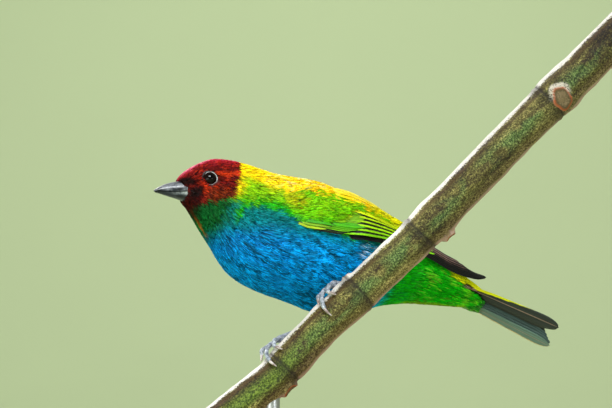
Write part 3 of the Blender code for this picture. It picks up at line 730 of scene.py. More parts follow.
TRUNK = Trunk()
ANKLES = {"left": (10.8, -6.0, 62.4), "right": (-8.0, -5.0, 52.7)}
THIGHS = {"left": Thigh((13.0, -6.5, -11.0), ANKLES["left"]),
          "right": Thigh((2.0, 5.5, -13.5), ANKLES["right"])}
THIGH_PATCHES = {"left": (0.0, 0.45), "right": (0.5, 0.45)}


@dataclass(frozen=True)
class EyeSize:
    """Place and size of the eyes, in millimetres of the bird's frame."""

    x: float = -40.4
    y: float = 5.3
    z: float = 17.05
    radius: float = 2.4
    lid: float = 1.98
    rim: float = 0.115

    def centre(self, side: int) -> Vector:
        """Return the middle of an eye in the model's metres."""
        return POSE.matrix() @ Vector((self.x, self.y * side, self.z))


EYES = EyeSize()
WING_EDGES: Table = (
    (-25.0, 4.4, 9.5), (-22.9, 3.2, 11.6), (-15.2, -0.9, 12.6), (-8.6, -2.4, 13.4),
    (-2.2, -3.6, 11.9), (2.9, -4.2, 10.9), (9.9, -5.2, 7.7), (18.0, -6.6, 3.3),
    (26.4, -8.3, -0.5), (35.8, -11.8, -6.1), (48.0, -13.9, -12.6),
)


class Paint:
    """A colour for each of many places, on which tones are laid."""

    def __init__(self, tone: Tone, count: int) -> None:
        """Start with one tone everywhere."""
        self.shade = np.tile(linear(*tone), (count, 1))

    def __call__(self, tone: Tone, amount: Array) -> None:
        """Lay a tone over what is there."""
        self.shade += (linear(*tone) - self.shade) * np.clip(amount, 0.0, 1.0)[:, None]


@dataclass(frozen=True)
class Markings:
    """The bird's colours by place on its plumage, with painted rim light on crown, back and wing;
    noise of -1 to 1 roughens every border.
    """

    bay: Tone = (128, 12, 6)
    bay_dark: Tone = (56, 4, 4)
    cheek: Tone = (128, 48, 8)
    crown: Tone = (176, 22, 40)
    # Pale pink of a painted rim light along the top of the crown.
    crown_painted_rim_light: Tone = (236, 116, 152)
    ember: Tone = (212, 56, 6)
    lore: Tone = (16, 8, 8)
    gold: Tone = (255, 222, 0)
    amber: Tone = (255, 188, 10)
    # Whitish yellow of a painted rim light along the back and the wing's top.
    painted_rim_light: Tone = (255, 240, 164)
    lime: Tone = (148, 204, 4)
    grass: Tone = (108, 196, 0)
    leaf: Tone = (34, 176, 6)
    shadow: Tone = (14, 70, 10)
    moss: Tone = (8, 92, 22)
    teal: Tone = (0, 128, 118)
    azure: Tone = (0, 128, 206)
    bright: Tone = (0, 172, 252)
    deep: Tone = (0, 76, 104)
    frost: Tone = (186, 212, 236)
    rust: Tone = (176, 92, 22)
    vent: Tone = (16, 186, 6)
    jade: Tone = (0, 136, 56)
    spring: Tone = (122, 208, 34)
    olive: Tone = (150, 150, 24)
    stripe: Tone = (226, 230, 8)
    quill: Tone = (158, 130, 116)

    def folded(self, spots: Array, noise: Array) -> Array:
        """Return linear colours for places on the small coverts of a folded wing.

        Args:
            spots: Points in the bird's frame.
            noise: Chance numbers of -1 to 1.

        Returns:
            A linear colour for each point.
        """
        x, _, z = spots.T
        low, high = along_table(WING_EDGES, x), along_table(WING_EDGES, x, 2)
        share = (z - low) / (high - low)
        lay = Paint(self.grass, len(x))
        lay(self.lime, ramp(-0.5, 0.5, noise + share * 0.8 - 0.5) * 0.85)
        lay(self.leaf, ramp(0.35, 0.1, share) * 0.7)
        patch = np.hypot((x + 18.0) / 4.6, (z - 8.2 + (x + 18) * 0.25) / 2.4)
        lay(self.amber, ramp(1.2, 0.3, patch + noise * 0.8) * 0.5)
        lay(self.shadow, ramp(0.55, 0.95, -noise) * ramp(-19.0, -23.0, x) * 0.85)
        lay(self.shadow, ramp(0.8, 1.0, np.abs(noise)) * 0.5)
        top = ramp(0.8, 0.93, share + noise * 0.14 + ramp(-6.0, 12.0, x) * 0.16)
        lay(self.gold, top)
        lay(self.amber, top * ramp(0.1, 0.7, noise) * ramp(13.0, 7.0, x) * 0.8)
        lay(self.stripe, top * ramp(6.0, 12.0, x) * 0.75)
        # Painted rim light: whitish yellow highlights along the wing's top edge.
        lay(self.painted_rim_light, top * ramp(0.2, 0.8, -noise) * ramp(18.0, 0.0, x) * 0.85)
        own = ramp(-25.0, -15.0, x + noise * 2.0)[:, None]
        return lay.shade * own + self.at(spots, noise) * (1.0 - own)

    def at(self, spots: Array, noise: Array) -> Array:
        """Return linear colours for places on the plumage.

        Args:
            spots: Points in the bird's frame.
            noise: Chance numbers of -1 to 1.

        Returns:
            A linear colour for each point.
        """
        lay = Paint(self.azure, len(spots))
        self.breast(lay, *spots.T, noise)
        self.back(lay, *spots.T, noise)
        self.vents(lay, *spots.T, noise)
        self.hood(lay, *spots.T, noise)
        return lay.shade

    def breast(self, lay: Paint, x: Array, y: Array, z: Array, noise: Array) -> None:
        """Lay the blues of breast and belly, then the green throat.

        Args:
            lay: Takes the tones.
            x: Places toward the tail.
            y: Places toward the right.
            z: Places toward the back.
            noise: Chance numbers of -1 to 1.
        """
        lay(self.bright, ramp(-22.0, -8.0, x + noise * 4) * ramp(24.0, 12.0, x) * 0.75)
        lay(self.deep, ramp(-13.0, -19.0, z + noise * 3) * 0.15)
        lay(self.deep, ramp(0.15, 0.7, np.sin(x * 0.9 + z * 1.3) * 0.3 - noise) * 0.8)
        lay(self.bright, ramp(0.1, 0.7, noise + ramp(-2.0, -12.0, z) * 0.3) * 0.85)
        flank = ramp(-6.5, 2.5, z + 0.18 * (x + 20) + noise * 1.5)
        lay(self.teal, flank * ramp(-38.0, -30.0, x) * 0.85)
        snow = np.hypot((x - 6.0) * 0.8, (z + 8.0) * 0.7)
        lay(self.frost, ramp(3.2, 1.2, snow) * ramp(0.0, 0.5, noise))
        throat = ramp(-3.5, 3.5, z + noise * 1.6)
        lay(self.teal, throat * ramp(-28.0, -34.0, x + noise * 2) * 0.9)
        lay(self.moss, throat * ramp(-34.5, -39.0, x + noise * 1.6 - (z - 4) * 0.35) * 0.95)
        lay(self.rust, ramp(1.1, 0.2, np.abs(y) + noise * 0.3) * ramp(-39.0, -42.0, x)
            * ramp(-1.0, 2.5, z) * 0.7)

    def back(self, lay: Paint, x: Array, y: Array, z: Array, noise: Array) -> None:
        """Lay the green shoulder, then the yellow of collar, back and rump, with a painted rim
        light along the back's ridge.

        Args:
            lay: Takes the tones.
            x: Places toward the tail.
            y: Places toward the right.
            z: Places toward the back.
            noise: Chance numbers of -1 to 1.
        """
        back = ramp(5.0, 9.0, z + 0.32 * (x + 28) + noise * 1.4 + ramp(7.0, 2.0, np.abs(y)) * 4)
        upper = ramp(8.2, 10.2, z + noise * 1.2 + (x + 34) * 0.42)
        above = ramp(-0.6, 1.2, z - along_table(WING_EDGES, np.maximum(x, -25.0)) + noise
                     + ramp(-24.0, -27.0, x) * 8.0)
        lay(self.leaf, np.maximum(upper, back) * above * ramp(-38.0, -35.0, x + noise))
        wedge = ramp(2.4, 0.8, np.abs(z - 5.0 - (x + 33.6) * 1.25) + noise * 0.6)
        lay(self.leaf, wedge * ramp(-35.5, -33.5, x) * ramp(-25.0, -28.0, x))
        yellow = ramp(7.6, 12.4, z + noise * 2.2 + (x + 33) * 0.18)
        lay(self.lime, yellow * ramp(-38.0, -35.0, x) * 0.95)
        collar = ramp(-28.4, -31.8, x + noise * 1.6 - (z - 15) * 0.5)
        lay(self.gold, collar * ramp(9.5, 12.0, z + noise) * 0.95)
        hump = 2.6 * np.exp(-((x + 23.0) / 4.5) ** 2)
        ridge = ramp(13.2, 17.2, z + noise * 1.4 + (x + 22) * 0.42 + hump)
        lay(self.gold, ridge * ramp(-34.0, -28.0, x))
        lay(self.amber, ramp(0.0, 0.9, noise) * ridge * ramp(-26.0, -18.0, x) * 0.7)
        # Painted rim light: whitish yellow highlights along the back's ridge.
        lay(self.painted_rim_light, ramp(0.1, 0.8, -noise) * ridge * ramp(-26.0, -18.0, x) * 0.85)
        spine = ramp(-4.0, 0.0, z + (x - 24) * 0.62 + noise)
        lay(self.gold, spine * ramp(2.0, 8.0, x) * ramp(28.0, 20.0, x) * 0.9)
        lay(self.stripe, spine * ramp(4.0, 12.0, x) * 0.8)

    def vents(self, lay: Paint, x: Array, y: Array, z: Array, noise: Array) -> None:
        """Lay the greens under the tail, then the bared root of its left edge.

        Args:
            lay: Takes the tones.
            x: Places toward the tail.
            y: Places toward the right.
            z: Places toward the back.
            noise: Chance numbers of -1 to 1.
        """
        under = ramp(10.0, 17.0, x + noise * 1.5)
        lay(self.vent, under)
        lay(self.jade, under * ramp(0.1, 0.7, noise) * 0.7)
        lay(self.moss, under * ramp(0.3, 0.9, -noise) * ramp(44.0, 30.0, x) * 0.6)
        lay(self.spring, under * ramp(0.25, 0.65, noise) * ramp(22.0, 30.0, x) * 0.85)
        arc = np.abs(np.hypot(x - 33.0, z + 18.0) - 9.5)
        lay(self.spring, ramp(1.3, 0.4, arc + noise * 0.4) * ramp(34.0, 38.0, x) * 0.6)
        lay(self.olive, ramp(18.0, 26.0, x) * ramp(3.6, 1.6, np.abs(y - 2.0) + noise)
            * ramp(-16.0, -18.0, z) * 0.7)
        bared = ramp(36.0, 38.0, x) * ramp(-1.0, -3.0, y)
        bared = bared * ramp(-0.3, 0.4, z + 13.0 + 0.66 * (x - 36.5) + noise * 0.3)
        stripe = z + 14.2 + 0.32 * (x - 38.0)
        lay(self.lore, bared)
        lay(self.quill, bared * ramp(0.5, 0.2, np.abs(stripe + 1.0)))
        lay(self.stripe, bared * ramp(-0.3, 0.2, stripe))

    def hood(self, lay: Paint, x: Array, y: Array, z: Array, noise: Array) -> None:
        """Lay the bay hood with its lit crown and the painted rim light along its top, its mottling
        and its black lore and gape.

        Args:
            lay: Takes the tones.
            x: Places toward the tail.
            y: Places toward the right.
            z: Places toward the back.
            noise: Chance numbers of -1 to 1.
        """
        hood = ramp(-0.5, 0.5, z - 10.4 - 0.16 * (x + 34.0) + noise * 0.9)
        hood = hood * ramp(0.25, -0.25, x + 29.0 - (z - 23.3) * 0.38 + noise * 0.16)
        lay(self.bay, hood)
        lay(self.cheek, hood * ramp(15.5, 11.5, z + noise) * ramp(-44.0, -40.0, x) * 0.9)
        lay(self.bay_dark, hood * ramp(0.05, 0.4, noise) * 0.9)
        lay(self.ember, hood * ramp(0.25, 0.7, -noise) * 0.6)
        brow = z + (x + 36) * -0.06 + noise * 0.8 + ramp(-42.0, -49.0, x) * 3.0
        lay(self.crown, hood * ramp(20.6, 24.2, brow) * 0.85)
        # Painted rim light: a pale pink highlight along the top of the crown.
        lay(self.crown_painted_rim_light, hood * ramp(3.2, 0.9, np.abs(y) + noise * 0.9)
            * ramp(18.0, 22.0, z) * 0.9)
        streak = ramp(1.5, 0.5, np.abs(z - 18.1 - (x + 36) * 0.06) + noise * 0.5)
        lay(self.ember, hood * streak * ramp(-38.4, -36.8, x) * 0.85)
        ring = np.abs(np.hypot(x - EYES.x, z - EYES.z) - 3.2)
        lay(self.ember, hood * ramp(0.8, 0.2, ring + noise * 0.3) * ramp(18.0, 14.0, z) * 0.55)
        lay(self.ember, hood * ramp(1.5, 0.7, np.hypot(x + 42.6, (z - 12.9) * 1.5)) * 0.9)
        lore = np.hypot((x + 47.2) * 0.75, (z - 16.9) * 1.3 + (x + 47.2) * 0.3)
        lay(self.lore, hood * ramp(2.5, 1.1, lore + noise * 0.5) * 0.95)
        gape = np.hypot((x + 44.8) * 0.8, z - 13.2)
        lay(self.lore, hood * ramp(2.3, 0.9, gape + noise * 0.4) * 0.95)
        lay(self.lore, ramp(13.4, 12.2, z) * ramp(-42.4, -44.8, x + noise * 0.7) * 0.8)


MARKINGS = Markings()


def quads(corners: Array) -> Array:
    """Cut four-cornered faces, the last axis of an array, into triangles."""
    corners = corners.reshape(-1, 4)
    return np.concatenate((corners[:, (0, 1, 2)], corners[:, (0, 2, 3)]))


def capped(rings: Array, count: int) -> Array:
    """Add the means of the first and the last ring of count rows."""
    return np.concatenate((rings, [rings[:count].mean(0), rings[-count:].mean(0)]))


class Weave:
    """Triangles, colours and unwrap gathered for one joined piece."""

    def __init__(self, in_model: bool = False) -> None:
        """Start empty; in_model tells that points are millimetres of the model itself.

        Args:
            in_model: Whether points are millimetres of the model.
        """
        self.in_model = in_model
        self.points: list[Array] = []
        self.faces: list[Array] = []
        self.unwrap: list[Array] = []
        self.values: dict[str, list[Array]] = {}
        self.count = 0

    def add(self, points: Array, faces: Array, unwrap: Array, **values: Array) -> None:
        """Gather closed forms and turn their faces outward.

        Args:
            points: Their points.
            faces: Their triangles.
            unwrap: A place on the unwrap for each point.
            values: Attributes of the points.
        """
        placed = points * MM if self.in_model else POSE.carry(points)
        first, second, third = (placed[faces[:, n]] for n in range(3))
        if np.sum(first * np.cross(second, third)) < 0:
            faces = faces[:, ::-1]
        self.points.append(placed)
        self.faces.append(faces + self.count)
        self.unwrap.append(unwrap)
        self.count += len(points)
        for key, value in values.items():
            self.values.setdefault(key, []).append(value)

    def add_rings(self, points: Array, count: int, patch: Pair, unwrap: Array | None = None,
                  **values: Array) -> None:
        """Gather a form of rings of points, its two ends closed by a fan.

        Args:
            points: The rings' points, ring by ring; these, and values, may be capped.
            count: Points in a ring.
            patch: Corner of its patch on the unwrap.
            unwrap: A place on the unwrap for each capped point, instead of a patch.
            values: Attributes of the points.
        """
        rings = len(points) // count
        turn = np.arange(count)
        onward = np.roll(turn, -1)
        row = np.arange(rings - 1)[:, None] * count
        last = (rings - 1) * count
        here, right = row + turn, row + onward
        faces = np.concatenate((
            quads(np.stack((here, here + count, right + count, right), -1)),
            np.stack((turn, onward, np.full(count, rings * count)), 1),
            np.stack((last + onward, last + turn, np.full(count, rings * count + 1)), 1)))

        def closed(value: Array) -> Array:
            """Cap a value that has no rows for the two ends yet."""
            return value if len(value) > rings * count else capped(value, count)

        if unwrap is None:
            spread = np.stack([grid.ravel() for grid in np.meshgrid(
                np.linspace(0, 1, rings), np.linspace(0, 1, count), indexing="ij")], 1)
            unwrap = np.array(patch) + closed(spread) * 0.08
        self.add(closed(points), faces, unwrap,
                 **{key: closed(value) for key, value in values.items()})

    def build(self, name: str, material: Material, slot: str, *nodes: str) -> Piece:
        """Make the piece with its attributes, and dress it.

        Args:
            name: Its name.
            material: Its finish.
            slot: Its material slot.
            nodes: The nodes that it replaces.

        Returns:
            The piece, linked into the scene.
        """
        points, faces, unwrap = map(np.concatenate, (self.points, self.faces, self.unwrap))
        mesh = bpy.data.meshes.new(name)
        mesh.vertices.add(len(points))
        mesh.vertices.foreach_set("co", points.astype(np.float32).ravel())
        mesh.loops.add(faces.size)
        mesh.loops.foreach_set("vertex_index", faces.astype(np.int32).ravel())
        mesh.polygons.add(len(faces))
        mesh.polygons.foreach_set("loop_start", np.arange(0, faces.size, 3, dtype=np.int32))
        mesh.polygons.foreach_set("use_smooth", np.full(len(faces), True))
        mesh.update(calc_edges=True)
        layer = mesh.uv_layers.new(name="OFBake")
        layer.data.foreach_set("uv", unwrap[faces.ravel()].astype(np.float32).ravel())
        for key, parts in self.values.items():
            value = np.concatenate(parts).astype(np.float32)
            kind, channel = "FLOAT_COLOR", "color"
            if value.ndim == 1:
                kind, channel = "FLOAT", "value"
            elif key == "tuft":
                kind, channel = "FLOAT_VECTOR", "vector"
            else:
                value = np.insert(value, 3, 1.0, axis=1)
            made = mesh.attributes.new(key, kind, "POINT")
            made.data.foreach_set(channel, value.ravel())
        mesh.materials.append(material)
        piece = bpy.data.objects.new(name, mesh)
        bpy.context.scene.collection.objects.link(piece)
        return dressed(piece, slot, *nodes)


def dressed(piece: Piece, slot: str, *nodes: str) -> Piece:
    """Let a piece ride and replace its nodes.

    Args:
        piece: The piece.
        slot: Its material slot; not used.
        nodes: The nodes that it replaces.

    Returns:
        The same piece.
    """
    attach(piece, "root")
    if nodes:
        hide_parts(*nodes)
    LOG.info("%s", piece.name)
    return piece


def clear_selection() -> None:
    """Deselect every object."""
    bpy.ops.object.select_all(action="DESELECT")


def carve(piece: Piece, radius: float, place: Vector, stretch: Point, cells: tuple[int, int]
          ) -> None:
    """Cut a round hollow into a piece.

    Args:
        piece: The piece.
        radius: Radius of the hollow, in millimetres.
        place: Its middle, in metres.
        stretch: How it is stretched along the axes.
        cells: Segments and rings of its ball.
    """
    clear_selection()
    bpy.ops.mesh.primitive_uv_sphere_add(
        segments=cells[0], ring_count=cells[1], radius=radius * MM, location=place, scale=stretch)
    ball = bpy.context.object
    bpy.context.view_layer.objects.active = piece
    cut = piece.modifiers.new("hollow", "BOOLEAN")
    cut.operation = "DIFFERENCE"
    cut.solver = "EXACT"
    cut.object = ball
    bpy.ops.object.modifier_apply(modifier=cut.name)
    bpy.data.objects.remove(ball)


def settled(name: str, material: Material, angle: float | None = None) -> Piece:
    """Name, finish and settle the active object with its place in its mesh.

    Args:
        name: The piece's name.
        material: Its finish.
        angle: Faces that meet flatter than this, in degrees, are shaded smooth; None for all.

    Returns:
        The object.
    """
    piece = bpy.context.object
    piece.name = piece.data.name = name
    for modifier in list(piece.modifiers):
        bpy.ops.object.modifier_apply(modifier=modifier.name)
    bpy.ops.object.transform_apply(location=True, rotation=True, scale=True)
    bpy.ops.object.mode_set(mode="EDIT")
    bpy.ops.mesh.select_all(action="SELECT")
    bpy.ops.mesh.normals_make_consistent(inside=False)
    bpy.ops.object.mode_set(mode="OBJECT")
    if angle is None:
        bpy.ops.object.shade_smooth()
    else:
        bpy.ops.object.shade_smooth_by_angle(angle=math.radians(angle))
    piece.data.materials.clear()
    piece.data.materials.append(material)
    return piece


@dataclass(frozen=True)
class TuftSize:
    """Size of the tufts of one region, in millimetres."""

    length: float
    width: float
    spacing: float
    barbs: int
    barb_width: float
    depth: float
    lift: float
    drift: float


@dataclass(frozen=True)
class Coat:
    """Tufts of barbs that lie along part of a surface and overlap tailward.

    keep tells from points, places and angles which roots may stay, room gives the share of
    its length that a tuft may have, and paint gives colours from points and noise.
    """

    name: str
    surface: Surface
    seed: int
    size: TuftSize
    reach: Pair
    keep: Callable[[Array, Array, Array], Array]
    room: Callable[[Array], Array] | None = None
    paint: Callable[[Array, Array], Array] = MARKINGS.at
    origin: Pair = (0.0, 0.0)
    tries: int = 90000
    patch: Pair = (0.88, 0.42)
    barb_patch: float = 0.003
    stations: tuple[float, ...] = (0.0, 0.42, 0.78, 1.0)
    girths: tuple[float, ...] = (0.75, 1.0, 0.66, 0.0)
    crown: float = 0.11
    tip_crown: float = 0.03

    def roots(self, chance: np.random.Generator) -> tuple[Array, Array]:
        """Scatter roots evenly and return their places along and angles around.

        Args:
            chance: Draws the chance numbers.

        Returns:
            Places along and angles around the surface.
        """
        along = chance.uniform(*self.reach, self.tries)
        around = chance.uniform(0.0, FULL_TURN, self.tries)
        spots, _, lengthwise, sidewise = self.surface.frame_at(along, around)
        area = lengthwise * sidewise
        kept = chance.uniform(0.0, area.max(), self.tries) < area
        kept &= self.keep(spots, along, around)
        along, around, spots = along[kept], around[kept], spots[kept]
        cells: dict[tuple[int, ...], list[Array]] = {}
        chosen = []
        for number, (spot, key) in enumerate(zip(spots, self.cells(spots))):
            others = [other for shift in product((-1, 0, 1), repeat=3)
                      for other in cells.get(tuple(map(add, key, shift)), ())]
            if all(((spot - other) ** 2).sum() > self.size.spacing ** 2 for other in others):
                cells.setdefault(key, []).append(spot)
                chosen.append(number)
        return along[chosen], around[chosen]

    def cells(self, spots: Array) -> list[tuple[int, ...]]:
        """Return the cell of the tufts' spacing that each point lies in."""
        return list(map(tuple, np.floor(spots / self.size.spacing).astype(int)))

    def build(self, material: Material) -> Piece:
        """Grow a tuft from each root and join all into a piece.

        Args:
            material: Its finish.

        Returns:
            The piece.
        """
        chance, size = np.random.default_rng(self.seed), self.size
        along, around = self.roots(chance)
        count = len(along)
        spots, _, lengthwise, sidewise = self.surface.frame_at(along, around)
        noise = chance.normal(0.0, 0.42, count)
        length = size.length * chance.uniform(0.8, 1.18, count)
        if self.room:
            length *= self.room(spots)
        drift = chance.normal(0.0, size.drift, count)
        lift = size.lift * chance.uniform(-0.6, 1.0, count)
        along, around, lengthwise, sidewise, noise, length, drift, lift = (
            np.repeat(part, size.barbs) for part in (
                along, around, lengthwise, np.maximum(sidewise, 0.8), noise, length, drift, lift))

        total = len(along)
        order = np.tile(np.linspace(-1.0, 1.0, size.barbs), count)
        order = order + chance.uniform(-0.14, 0.14, total)
        reach = length * (1.0 - 0.3 * order ** 2) * chance.uniform(0.8, 1.05, total)
        shade = chance.uniform(0.0, 1.0, total)
        tip = np.minimum(along + reach * 0.7 / lengthwise, self.surface.length)
        shown = self.surface.point(tip, around + order * size.width * 0.4 / sidewise)
        noise = noise * 0.75 + chance.normal(0.0, 0.3, total)
        colour = self.paint(shown, np.clip(noise, -1.0, 1.0))
        wide = size.barb_width * chance.uniform(0.7, 1.2, total)
        points, tufts = [], []
        for share, girth in zip(self.stations, self.girths):
            spread = order * size.width / 2 * (0.35 + 0.65 * share ** 0.7) + drift * reach * share
            depth = -size.depth * (1.0 - min(1.0, share / 0.62)) ** 1.4
            height = depth + lift * share ** 2 - 0.1
            place = along + reach * share / lengthwise
            corners = ((-1, 0.0), (0, self.crown), (1, 0.0)) if girth else ((0, self.tip_crown),)
            for offset, rise in corners:
                across = spread + wide * girth / 2 * offset
                points.append(self.surface.raised(place, around + across / sidewise, height + rise))
                tufts.append(np.stack((np.full(total, share), across / size.width + 0.5, shade), 1))
        each = len(points)
        tuft = np.stack(tufts, 1).reshape(-1, 3)
        home = np.stack((along / self.surface.length, around % FULL_TURN / FULL_TURN), 1)
        home = np.array(self.origin) + home * self.patch
        weave = Weave()
        weave.add(np.stack(points, 1).reshape(-1, 3), self.barb_faces(total, each),
                  np.repeat(home, each, axis=0) + self.barb_patch * np.clip(tuft[:, :2], 0, 1),
                  dye=np.repeat(colour, each, axis=0), tuft=tuft)
        LOG.info("%s: %d tufts", self.name, count)
        return weave.build(self.name, material, "blue_feathers")

    def barb_faces(self, total: int, each: int) -> Array:
        """Return the triangles of all barbs, each a three-sided blade with a point.

        Args:
            total: How many barbs there are.
            each: Points of each barb.

        Returns:
            Three point numbers for each triangle.
        """
        one = [(0, 1, 2)]
        for low in (0, 3):
            for near, far in ((0, 1), (1, 2), (2, 0)):
                near, far = near + low, far + low
                one += [(near, near + 3, far), (far, near + 3, far + 3)]
        one += [(6, 9, 7), (7, 9, 8), (8, 9, 6)]
        return (np.array(one)[None] + np.arange(total)[:, None, None] * each).reshape(-1, 3)


@dataclass(frozen=True)
class FoldedWing:
    """The flank that a folded wing lies on, and the wing's edges; sizes in millimetres."""

    side: int
    low: Table = (
        (-25.0, 4.4), (-15.2, -0.9), (-2.2, -3.6), (11.6, -5.4), (26.4, -8.3), (35.0, -11.6),
        (39.3, -13.0), (44.5, -13.7), (48.6, -13.9),
    )
    high: Table = (
        (-25.0, 9.5), (-22.9, 11.6), (-8.6, 13.4), (2.9, 10.9), (9.9, 7.7), (18.0, 3.3),
        (28.5, -1.5), (35.8, -6.1), (41.4, -9.1), (47.5, -12.1), (48.8, -12.9),
    )
    flank: Table = (
        (-25.0, 12.6, 3.0, 20.0), (-10.0, 16.2, 0.0, 20.0), (5.0, 16.6, -4.2, 18.6),
        (20.0, 13.6, -8.5, 16.0), (35.0, 8.2, -13.0, 13.0), (50.0, 5.6, -17.5, 11.0),
    )
    least: float = 2.4
    thickness: float = 0.1
    shingle: float = 0.55

    def over(self, x: Array, z: Array, lift: Array) -> Array:
        """Return points over the flank at places toward tail and back and a height.

        Args:
            x: Places toward the tail.
            z: Places toward the back.
            lift: Heights over the flank.

        Returns:
            One point for each place, in millimetres.
        """
        half, middle, height = (along_table(self.flank, x, column) for column in (1, 2, 3))
        rise = np.clip((z - middle) / height, -0.97, 0.97)
        spread = np.sqrt(1.0 - rise * rise)
        normal = np.stack((np.zeros_like(x), spread / half, rise / height), 1)
        normal /= np.linalg.norm(normal, axis=1)[:, None]
        point = np.stack((x, half * spread, middle + height * rise), 1) + normal * lift[:, None]
        return point * (1.0, self.side, 1.0)

    def span(self, x: Array) -> tuple[Array, Array]:
        """Return the wing's lower edge and its height at places."""
        low = along_table(self.low, x)
        return low, np.maximum(self.least, along_table(self.high, x) - low)


@dataclass
class WingSheet(Surface):
    """The front and upper part of a folded wing, where soft small coverts lie."""

    form: FoldedWing
    start: float = -25.6
    reach: float = 44.0
    height: float = 2.2
    sunk: float = 1.2
    length: float = 1.0
    bald: Table = (
        (-16.0, -0.05), (-10.0, 0.16), (-3.0, 0.46), (1.0, 0.6), (12.0, 0.64), (18.0, 0.76))

    def share(self, around: Array) -> Array:
        """Return heights from the lower edge to the upper, which the angles stand for."""
        return 1.1 * around / FULL_TURN - 0.05

    def point(self, along: Array, around: Array) -> Array:
        """Return points of the sheet from front to back and from low to high.

        Args:
            along: Shares of its length, front to back.
            around: Its height from the lower edge, as an angle.

        Returns:
            One point for each place, in millimetres.
        """
        share = self.share(around)
        x = self.start + self.reach * along
        low, tall = self.form.span(x)
        lift = (self.height + self.sunk) * ramp(-26.6, -15.0, x) - self.sunk
        return self.form.over(x, low + tall * share, lift - 1.3 * np.abs(2 * share - 1.0) ** 4)

    def inner(self, along: Array, around: Array) -> Array:
        """Return points of the bird's middle plane beside the sheet."""
        return self.point(along, around) * (1.0, 0.0, 1.0)

    def keep(self, spots: Array, along: Array, around: Array) -> Array:
        """Keep the roots of the whole front of the wing and of its upper edge."""
        share = self.share(around)
        return (share > along_table(self.bald, spots[:, 0])) & (share < 1.04)


@dataclass(frozen=True)
class Tier:
    """One row of wing feathers; each pair holds its front feather and its hind one."""

    count: int
    root: Pair
    tip: Pair
    root_share: Pair
    tip_share: Pair
    width: float
    lift: Pair
    rim: Pair
    web: tuple[Tone, Tone]
    edge: tuple[Tone, Tone]
    fray: float
    point: float
    slim: float = 0.0


BLACK = (14, 14, 15)
PRIMARIES = Tier(
    8, (-6.0, 2.0), (49.6, 40.0), (0.04, 0.26), (0.4, 0.9), 3.4, (0.1, 0.6), (-0.2, 0.14),
    (BLACK, BLACK), ((150, 104, 96), (220, 172, 168)), 0.0, 0.76, 0.55)
SECONDARIES = Tier(
    6, (-6.0, -4.0), (30.5, 26.0), (0.13, 0.58), (0.44, 0.86), 4.0, (0.75, 1.1), (0.17, 0.15),
    (BLACK, BLACK), ((146, 232, 0), (206, 240, 0)), 0.0, 0.8)
TERTIALS = Tier(
    4, (-4.0, -5.0), (24.5, 13.0), (0.62, 0.88), (0.76, 0.93), 4.6, (1.2, 1.5), (0.3, 1.3),
    (BLACK, (90, 110, 8)), ((214, 234, 4), (252, 230, 0)), 0.02, 0.72)
PRIMARY_COVERTS = Tier(
    6, (-14.0, -10.0), (-3.0, 4.5), (0.05, 0.2), (0.05, 0.24), 1.9, (1.0, 1.25), (-0.3, 1.2),
    (BLACK, BLACK), ((130, 200, 0), (70, 170, 0)), 0.06, 0.55)
GREATER_COVERTS = Tier(
    12, (-19.0, -5.0), (-4.0, 9.0), (0.18, 0.92), (0.16, 0.9), 3.0, (1.3, 1.7), (0.62, 1.2),
    ((10, 52, 4), (176, 160, 0)), ((76, 186, 0), (255, 224, 0)), 0.2, 0.5)
ALULA = Tier(
    3, (-18.5, -17.0), (-9.0, -5.5), (0.07, 0.18), (0.05, 0.15), 1.5, (1.6, 1.75), (0.6, 0.6),
    (BLACK, BLACK), ((170, 200, 8), (60, 160, 0)), 0.1, 0.5)
TIERS = (PRIMARIES, SECONDARIES, TERTIALS, PRIMARY_COVERTS, GREATER_COVERTS, ALULA)


@dataclass(frozen=True)
class Vane:
    """How one flight feather looks.

    colours holds the inner web and the outer edge, rim the shares of the width that the edge
    takes at root and tip, and point the share of the length where the tip starts.
    """

    thickness: float
    colours: tuple[Array, Array]
    rim: Pair
    patch: Pair
    fray: float
    point: float

    def half(self, along: Array) -> Array:
        """Return shares of the full half width at shares of the length.

        Args:
            along: Shares of the length.

        Returns:
            Shares of the full half width.
        """
        shoulder = 0.62 + 0.38 * np.clip(along / 0.3, 0.0, 1.0)
        narrow = np.clip((along - self.point) / (1.0 - self.point), 0.0, 1.0)
        return np.maximum(shoulder * np.sqrt(np.maximum(0.0, 1.0 - narrow ** 2.2)), 0.02)


